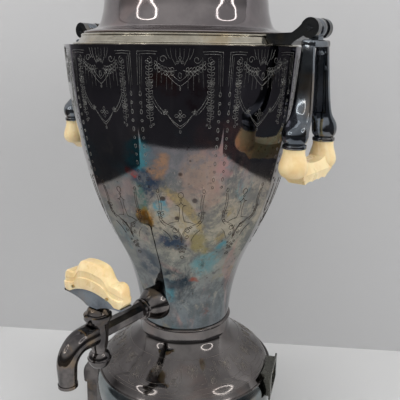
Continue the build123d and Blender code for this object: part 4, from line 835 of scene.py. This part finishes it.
def build_base():
    """Base dome with a beaded rim, and the bowed skirt below it."""
    rim = in_metres([(68.4, 1.9), (68.9, 1.1), (68.4, 0.3), (67.6, 0.0)], RIM)
    inside = [(BASE_INSIDE, RIM), *lining(DOME_LINE[-4:32:-3])]
    under = SEAM - SHEET
    inside += [(33.2 * MM, under), (FLOOR_HOLE, under), (FLOOR_HOLE, SEAM)]
    bm = spun(DOME_LINE + rim + inside)
    dome = finish_mesh("dome_cover", bm, "urn", BASE_PLATE, ["base_dome"])
    tall = RIM - SKIRT_BOTTOM
    outline = flowing(
        [
            (RIM_RADIUS, RIM),
            (70.4 * MM, SKIRT_BOTTOM + tall * 0.78),
            (69.5 * MM, SKIRT_BOTTOM + tall * 0.46),
            (66.4 * MM, SKIRT_BOTTOM + tall * 0.20),
            (60.0 * MM, SKIRT_BOTTOM + SHEET),
        ],
        10,
    )
    lip = in_metres([(59.4, 0.0), (55.0, 0.0), (55.0, 1.2), (58.2, 1.2)], SKIRT_BOTTOM)
    bm = spun(outline + lip + lining(outline[-6:0:-3], 0.0) + [(BASE_INSIDE, RIM)])
    skirt = finish_mesh("skirt_apron", bm, "urn", SKIRT_PLATE, ["base_skirt"])
    return cut_inlet(dome), cut_inlet(skirt)


# Knob's ring; then the glass: its foot above the lid's top, its sides and its stub
KNOB_RING_LINE = [
    *[(19.1, 0.0), (25.6, 0.0), (26.0, 0.4), (26.0, 0.9)],
    *[(25.0, 1.6), (22.6, 2.7), (21.8, 3.0), (19.1, 3.0)],
]
GLASS_FOOT = 3.06
GLASS_RADIUS, GLASS_INSIDE = 20.8, 16.44
STUB_RADIUS, STUB_BOTTOM = 19.04, -6.0
GLASS_SIDES = GLASS_FOOT + 8.4


def build_glass():
    """Glass knob and its plated ring."""
    ring = spun(in_metres(KNOB_RING_LINE, LID_TOP))
    finish_mesh("knob_collar", ring, "lid", TRIM_PLATE, ["knob_ring"], 35)
    foot = GLASS_FOOT
    stub = [(STUB_RADIUS, STUB_BOTTOM), (STUB_RADIUS, foot), (20.4, foot), (GLASS_RADIUS, foot + 0.5)]
    crown = [(GLASS_RADIUS, GLASS_SIDES), (19.7, foot + 14.5), (15.0, foot + 20.6)]
    crown += [(8.0, foot + 23.3), (0, foot + 24)]
    hollow = [(0, foot + 21.4), (7.4, foot + 20.9), (12.9, foot + 18.6)]
    hollow += [(16.0, foot + 13.4), (GLASS_INSIDE, GLASS_SIDES)]
    line = [*stub, *flowing(crown, 8), *flowing(hollow, 8), (GLASS_INSIDE, STUB_BOTTOM)]
    glass = spun(in_metres([(max(r, 0.0), h) for r, h in line], LID_TOP), steps=96)
    finish_mesh("glass_cap", glass, "lid", GLASS, ["glass_knob"])


def oval(center, half_wide, half_tall, steps=10):
    """Points round an oval in a panel's flat drawing, in millimetres."""
    across, height = center
    angles = [radians(360.0 * k / steps) for k in range(steps + 1)]
    return [(across + half_wide * cos(a), height + half_tall * sin(a)) for a in angles]


def bow(first, last, sag, steps=8):
    """Points of a shallow bow between two places, bent to its left by the sag."""
    (x0, y0), (x1, y1) = first, last
    across, up = x1 - x0, y1 - y0
    length = sqrt(across**2 + up**2)
    points = []
    for k in range(steps + 1):
        t = k / steps
        push = 4 * sag * t * (1 - t)
        points.append((x0 + across * t - up / length * push, y0 + up * t + across / length * push))
    return points


def scroll(center, radius, side, turns=1.25, start=90.0):
    """Points of a small spiral that winds inward."""
    steps = 16
    points = []
    for k in range(steps + 1):
        t = k / steps
        a = radians(start) + side * 2 * pi * turns * t
        reach = radius * (1 - 0.75 * t)
        points.append((center[0] + reach * cos(a), center[1] + reach * sin(a)))
    return points


def leaf(root, angle, length, width=0.32):
    """Two bows that close into a small pointed leaf."""
    a = radians(angle)
    tip = (root[0] + length * cos(a), root[1] + length * sin(a))
    return [bow(root, tip, length * width, 5) + bow(tip, root, length * width, 5)[1:]]


def flower(center, size, petals):
    """A round flower: a ring of petals about a small eye."""
    lines = [oval(center, size * 0.26, size * 0.26, 6)]
    for k in range(petals):
        angle = 90 + 360 * k / petals
        a = radians(angle)
        root = (center[0] + size * 0.3 * cos(a), center[1] + size * 0.3 * sin(a))
        lines += leaf(root, angle, size * 0.8, 0.36)
    return lines


# Shapes of one side of a drawing, in millimetres: places, then other values of the shape's function
UPPER_SHAPES = {
    "line": [
        (23.4, 289, 23.4, 307.6, 18, 307.9, 12.6, 307.6),
        (22.2, 285, 22.2, 306.2, 18, 306.5, 13.2, 306.2),
        (12.4, 304.6, 12.6, 297, 13.2, 288),
        (21, 304.8, 21.2, 296, 21.4, 276),
        (2.4, 309.2, 2.2, 305, 1.2, 301.6),
        (5.4, 309.4, 4.6, 304.6, 2.4, 300.4),
        (7.6, 309.2, 6.8, 306, 5.4, 303.6),
        *[(4.4, 296.4, 4.5, 287), (7.4, 295.6, 7.5, 286.4), (10.4, 297, 10.4, 290.6)],
    ],
    "bow": [
        *[(16.8, 301, 17.4, 284, 0.5), (17.4, 284, 16.6, 267, 0.6)],
        *[(8.6, 297.6, 0, 288.6, 0.8), (5.4, 297.2, 0, 291.6, 0.6)],
        *[(15.4, 284, 9.6, 274.4, 0.7), (16.2, 282.6, 10.2, 272.8, 0.7)],
        *[(7, 272.4, 0, 265.6, 0.5), (6.4, 271.4, 0, 264.2, 0.5)],
        (1.8, 297.6, 14, 301.4, -2.6, 12),
    ],
    "scroll": [(17, 303, 1.9, 1), (9.4, 303.4, 2.3, -1, 1.1, 0)],
    "flower": [(17.1, 290.2, 2, 5), (16.9, 276.4, 1.9, 5), (8.4, 273.8, 1.5, 5)],
    "oval": [(16.7, 265.4, 0.7, 0.9, 6), (15.2, 266.6, 0.5, 0.6, 6)],
}
LOWER_SHAPES = {
    "line": [(1.1, 213.4, 1, 208, 1.9, 202.6)],
    "bow": [
        *[(3.4, 214.4, 0, 217.2, 0.9, 6), (3.4, 214.4, 1.2, 213.6, -0.4, 4)],
        *[(1.9, 202.6, 8.6, 200.4, 0.6, 6), (8.6, 200.4, 0, 185.8, -3.4, 10)],
        *[(7, 198.6, 0.8, 188, -2.2, 8), (6, 187.6, 11.6, 196, 0.8, 6)],
        *[(8.6, 200.4, 12.6, 209, -1.6, 6), (9.6, 199, 13.8, 208.4, -1.6, 6)],
        *[(12.6, 209, 13.4, 222, 0.9, 6), (13.8, 208.4, 14.6, 222.4, 0.8, 6)],
    ],
    "scroll": [
        *[(4, 196, 2.5, 1, 1.2, 30), (3, 190.6, 1.6, -1, 1.1, 90)],
        (11.4, 208.2, 1.7, -1, 1.1, 60),
    ],
    "oval": [(14, 224.4, 0.8, 1.4, 7)],
}
MIDDLE_SHAPES = {
    "flower": [(0, 271.8, 3, 4), (0, 302.6, 2.4, 3)],
    "line": [(0, 309.6, 0, 305)],
    "oval": [
        *[(0, 294.6, 0.9, 1.7, 8), (0, 287.2, 0.5, 0.8, 6), (0, 262.4, 0.5, 1, 6)],
        *[(0, 221.6, 1.7, 2, 9), (0, 218.4, 0.8, 0.7, 6), (0, 182, 1, 1, 7)],
        *[(0, 179.4, 0.8, 0.8, 6), (0, 173.6, 1.3, 1.1, 8)],
    ],
}
PALMETTE_SHAPES = {
    "line": [
        (8.2, 46.4, 8.6, 57.6, 4, 58.6, 0, 58.8),
        (9.4, 45.8, 9.8, 60.2, 5, 61, 0, 61.2),
    ],
    "bow": [(9.8, 60.2, 16.6, 62.2, 1.2, 6)],
    "scroll": [(3.6, 48, 1.9, 1), (13.6, 56.8, 2.6, -1, 1.2, 90), (12.4, 50.4, 1.8, 1, 1.2, 0)],
}


def drawn(s, shapes):
    """Lines of a table of shapes on one side of the drawing's middle: s is 1 or -1."""
    lines = []
    for kind, (x, y, *rest) in [(kind, row) for kind, rows in shapes.items() for row in rows]:
        start = (s * x, y)
        if kind == "line":
            lines.append([start, *[(s * a, b) for a, b in zip(rest[::2], rest[1::2])]])
        elif kind == "bow":
            lines.append(bow(start, (s * rest[0], rest[1]), s * rest[2], *rest[3:]))
        elif kind == "scroll":
            lines.append(scroll(start, rest[0], s * rest[1], *rest[2:]))
        elif kind == "oval":
            lines.append(oval(start, *rest))
        else:
            lines += flower(start, *rest)
    return lines


def upper_chasing(s):
    """One side of the frame, sprays, garland and drapery on a panel's upper part."""
    lines = drawn(s, UPPER_SHAPES)
    for k in range(11):
        height = 301.0 - 3.1 * k
        lines += leaf((s * 17.0, height), 90 - s * 48, 2.5)
        lines += leaf((s * 17.0, height - 1.2), 90 + s * 48, 2.5)
    for k in range(6):
        t = 0.16 + k / 6.6
        place = (s * (1.8 + 12.2 * t), 297.6 + 3.8 * t - 8.8 * t * (1 - t))
        lines += leaf(place, 90 - s * 20, 2.3) + leaf(place, -90 + s * 16, 2.7)
    return lines


def lower_chasing(s):
    """One side of the bowl, its wings, its drops and the beads along the crease."""
    lines = drawn(s, LOWER_SHAPES)
    for k in range(3):
        lines += leaf((s * (10.6 + k * 1.1), 201.6 + k * 3.4), 90 - s * 58, 2.4)
    for k, height in enumerate((183.4, 180.6, 178.2)):
        lines.append(oval((s * (2.6 - k * 0.7), height), 0.75, 0.75, 6))
    for k in range(12):
        height = 227.0 + k * 5.2
        edge = crease_radius(height * MM) / MM * sin(pi / PANELS)
        lines.append(oval((s * (edge - 3.6), height), 0.65, 1.35 if k % 2 else 0.8, 7))
    return lines


def chased(name, lines, material, thick):
    """Raised chasing: fine round wires, half sunk in the metal, drawn through places on its skin."""
    data = bpy.data.curves.new(name, "CURVE")
    data.dimensions = "3D"
    data.bevel_depth = thick
    data.bevel_resolution = 0
    data.resolution_u = 1
    for line in lines:
        spline = data.splines.new("POLY")
        spline.points.add(len(line) - 1)
        for point, place in zip(spline.points, line):
            point.co = (*place, 1)
    piece = placed(name, data)
    data.materials.append(material)
    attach(piece, "urn")
    return piece


# Half thickness of the chased lines, and the height between the upper and lower drawings in millimetres
UPPER_WIRE, LOWER_WIRE, DOME_WIRE = 0.13 * MM, 0.19 * MM, 0.14 * MM
DRAWINGS_PART = 250


def build_chasing():
    """The same chased drawing on all ten panels, in an upper and a lower piece."""
    upper = upper_chasing(1) + upper_chasing(-1)
    lower = lower_chasing(1) + lower_chasing(-1)
    middle = drawn(1, MIDDLE_SHAPES)
    upper += [line for line in middle if line[0][1] > DRAWINGS_PART]
    lower += [line for line in middle if line[0][1] < DRAWINGS_PART]
    pieces = (("upper_chasing", upper, UPPER_WIRE), ("lower_chasing", lower, LOWER_WIRE))
    for name, drawing, thick in pieces:
        lines = []
        for panel in range(PANELS):
            for line in drawing:
                lines.append([body_point(panel, u * MM, z * MM) for u, z in line])
        chased(name, lines, CHASING, thick)


# Palmettes round the dome, and the radius at which their drawing keeps its width
PALMETTES = 12
DRAWING_RADIUS = 54.0


def build_dome_chasing():
    """Palmettes and frames round the base dome, between a double border and a neck line."""
    lines = []
    for radius in (64.6, 63.2, 43.4):
        lines.append([dome_point(2 * pi * k / 160, radius * MM) for k in range(161)])
    drawing = []
    for k in range(7):
        drawing += leaf((0.0, 48.4), 90 + (k - 3) * 24, 6.4 - abs(k - 3) * 0.6, 0.2)
    drawing.append(oval((0, 47.2), 1.2, 1.2, 7))
    for s in (1, -1):
        drawing += drawn(s, PALMETTE_SHAPES)
        for k in range(4):
            drawing += leaf((s * (11.2 + k * 1.6), 53.4 + k * 1.3), 90 - s * (70 - k * 14), 2.4)
    for repeat in range(PALMETTES):
        turn = radians(360 / PALMETTES * (repeat + 0.5))
        for line in drawing:
            lines.append([dome_point(turn + u / DRAWING_RADIUS, r * MM) for u, r in line])
    chased("dome_chasing", lines, DOME_CHASING, DOME_WIRE)


build_body()
for hand in ("right", "left"):
    build_yoke(hand)
build_lever_grip()
build_chasing()
build_dome_chasing()
build_lid()
build_collar()
build_base()
build_glass()

# Camera: the photograph's view of the tap side and the right handle, in metres and pixels
CAMERA_TURN = radians(38.5)
CAMERA_REACH = 0.398
CAMERA_HEIGHT = 0.310
CAMERA_PITCH = radians(15.5)
CAMERA_YAW = 0.027
CAMERA_ROLL = 0.0125
FOCAL_PIXELS = 550.0
FRAME_PIXELS = 400.0


def build_camera():
    """A camera at the photograph's place, turned and rolled as the photograph is."""
    level = cos(CAMERA_PITCH)
    ahead = Vector((sin(CAMERA_YAW) * level, cos(CAMERA_YAW) * level, -sin(CAMERA_PITCH)))
    right = Vector((cos(CAMERA_YAW), -sin(CAMERA_YAW), 0))
    up = right.cross(ahead)
    rolled_right = right * cos(CAMERA_ROLL) + up * sin(CAMERA_ROLL)
    rolled_up = up * cos(CAMERA_ROLL) - right * sin(CAMERA_ROLL)
    turn = Matrix.Rotation(CAMERA_TURN, 3, "Z")
    axes = Matrix([turn @ rolled_right, turn @ rolled_up, -(turn @ ahead)]).transposed()
    data = bpy.data.cameras.new("photo_camera")
    data.sensor_width = 36.0
    data.lens = data.sensor_width * FOCAL_PIXELS / FRAME_PIXELS
    camera = placed("photo_camera", data)
    place = toward_camera(CAMERA_REACH, 0, CAMERA_HEIGHT)
    camera.matrix_world = Matrix.Translation(place) @ axes.to_4x4()
    bpy.context.scene.camera = camera


def stage_piece(name, bm, material):
    """A floor, wall or lamp that isn't part of the urn."""
    thing = placed_mesh(name, bm)
    thing.data.materials.append(material)
    return thing


def toward_camera(reach, side, height):
    """A place from its reach toward the camera, its step to the camera's right, and its height."""
    x = reach * sin(CAMERA_TURN) + side * cos(CAMERA_TURN)
    y = -reach * cos(CAMERA_TURN) + side * sin(CAMERA_TURN)
    return Vector((x, y, height))


# How far the table that the plate mirrors reaches toward the camera and to either side
TABLE_FRONT, TABLE_SIDE = 0.485, 0.42


def build_table():
    """Pale table; in the plate's mirror it ends where the dim part of the room begins."""
    pale = Paint("pale_table")
    front = pale.vector_math("DOT_PRODUCT", pale.place, toward_camera(1, 0, 0) / TABLE_FRONT)
    side = pale.vector_math("DOT_PRODUCT", pale.place, toward_camera(0, 1, 0) / TABLE_SIDE)
    edge = pale.span(pale.math("MAXIMUM", front, pale.math("ABSOLUTE", side)), 0.98, 1.02)
    mirrored = pale.add("ShaderNodeLightPath", "Is Glossy Ray")
    color = pale.mix(pale.noise(6, 3), (0.53, 0.53, 0.53), (0.57, 0.57, 0.57))
    pale.surface(pale.mix(pale.times(edge, mirrored), color, (0.03, 0.03, 0.035)), 0.7)
    bm = bmesh.new()
    bmesh.ops.create_grid(bm, x_segments=1, y_segments=1, size=2.5)
    stage_piece("table_top", bm, pale.material)


def build_wall():
    """Pale wall close behind the urn, clear when seen from its back."""
    wall = Paint("pale_wall")
    wall.surface(wall.mix(wall.noise(3, 2), (0.45, 0.45, 0.455), (0.49, 0.49, 0.495)), 0.8)
    back = wall.add("ShaderNodeNewGeometry", "Backfacing")
    clear = wall.add("ShaderNodeBsdfTransparent", 0)
    sides = {0: back, 1: wall.shader.outputs[0], 2: clear}
    wall.feed(wall.add("ShaderNodeMixShader", 0, sides), wall.output)
    # Ends of the wall's foot: reach toward the camera, and step to the camera's right
    (left, right), tall = ((-0.347, -1.6), (0.051, 1.6)), 1.5
    bm = bmesh.new()
    ends = ((*left, 0), (*right, 0), (*right, tall), (*left, tall))
    corners = [toward_camera(*end) for end in ends]
    bm.faces.new([bm.verts.new(corner) for corner in corners])
    stage_piece("back_wall", bm, wall.material)


def build_world():
    """A room of even light, mirrored pale behind the urn and above, and dim behind the camera."""
    world = bpy.data.worlds.new("room")
    world.use_nodes = True
    bpy.context.scene.world = world
    room = Nodes(world.node_tree)
    direction = room.add("ShaderNodeTexCoord", "Generated")
    ahead = room.vector_math("DOT_PRODUCT", direction, toward_camera(1, 0, 0))
    even, back, front, above = 0.62, 0.85, 0.07, 0.62
    walls = room.span(ahead, -0.45, -0.05, back, front)
    ceiling = room.span(room.upward(direction), 0.06, 0.42, 0.0, above)
    mirrored = room.add("ShaderNodeLightPath", "Is Glossy Ray")
    strengths = {0: mirrored, 2: even, 3: room.math("MAXIMUM", walls, ceiling)}
    background = room.tree.nodes["Background"]
    background.inputs["Color"].default_value = (1, 1, 1, 1)
    room.feed(room.add("ShaderNodeMix", 0, strengths), background.inputs["Strength"])


def area_lamp(name, place, aim, size, power):
    """A soft rectangular lamp aimed at a point, which the plate doesn't mirror."""
    data = bpy.data.lights.new(name, "AREA")
    data.shape = "RECTANGLE"
    data.size, data.size_y = size
    data.energy = power
    lamp = placed(name, data)
    lamp.location = place
    lamp.rotation_mode = "QUATERNION"
    lamp.rotation_quaternion = (Vector(aim) - Vector(place)).to_track_quat("-Z", "Y")
    lamp.visible_glossy = False
    return lamp


def build_ring_lamps():
    """Two ring lamps in front, left and right, that the plate and the cast pieces mirror."""
    glow = Paint("ring_glow")
    warm = glow.mix(glow.noise(4, 2), (1.0, 0.96, 0.90), (1.0, 1.0, 0.98))
    glow.feed(glow.add("ShaderNodeEmission", 0, {"Color": warm, "Strength": 7.0}), glow.output)
    aim, far, rise = Vector((0, 0, 0.25)), 1.15, radians(30)
    radius, tube, corners = 0.25, 0.018, 10
    for name, turn in (("ring_lamp_left", -radians(56)), ("ring_lamp_right", radians(56))):
        level = far * cos(rise)
        center = toward_camera(level * cos(turn), level * sin(turn), aim.z + far * sin(rise))
        facing = (center - aim).normalized()
        outward = facing.orthogonal().normalized()
        bm = bmesh.new()
        hoop = []
        for a in [2 * pi * k / corners for k in range(corners)]:
            skin = (outward * cos(a) + facing * sin(a)) * tube
            hoop.append(bm.verts.new(center + outward * radius + skin))
        edges = [bm.edges.new((hoop[k - 1], hoop[k])) for k in range(corners)]
        full_turn(bm, hoop + edges, center, facing, 48)
        bmesh.ops.recalc_face_normals(bm, faces=bm.faces)
        stage_piece(name, bm, glow.material)


URN_MIDDLE = (0, 0, 0.2)

build_camera()
build_table()
build_wall()
build_world()
build_ring_lamps()
area_lamp("top_lamp", toward_camera(0.2, -0.1, 1.3), URN_MIDDLE, (0.8, 0.8), 9.0)
area_lamp("left_lamp", toward_camera(0.5, -1.2, 0.7), URN_MIDDLE, (0.5, 0.9), 4.5)
right_aim = toward_camera(-0.1, 0.3, 0.2)
area_lamp("right_lamp", toward_camera(0.8, 1.4, 0.8), right_aim, (0.5, 0.9), 12.0)

bpy.context.scene.view_settings.view_transform = "Standard"
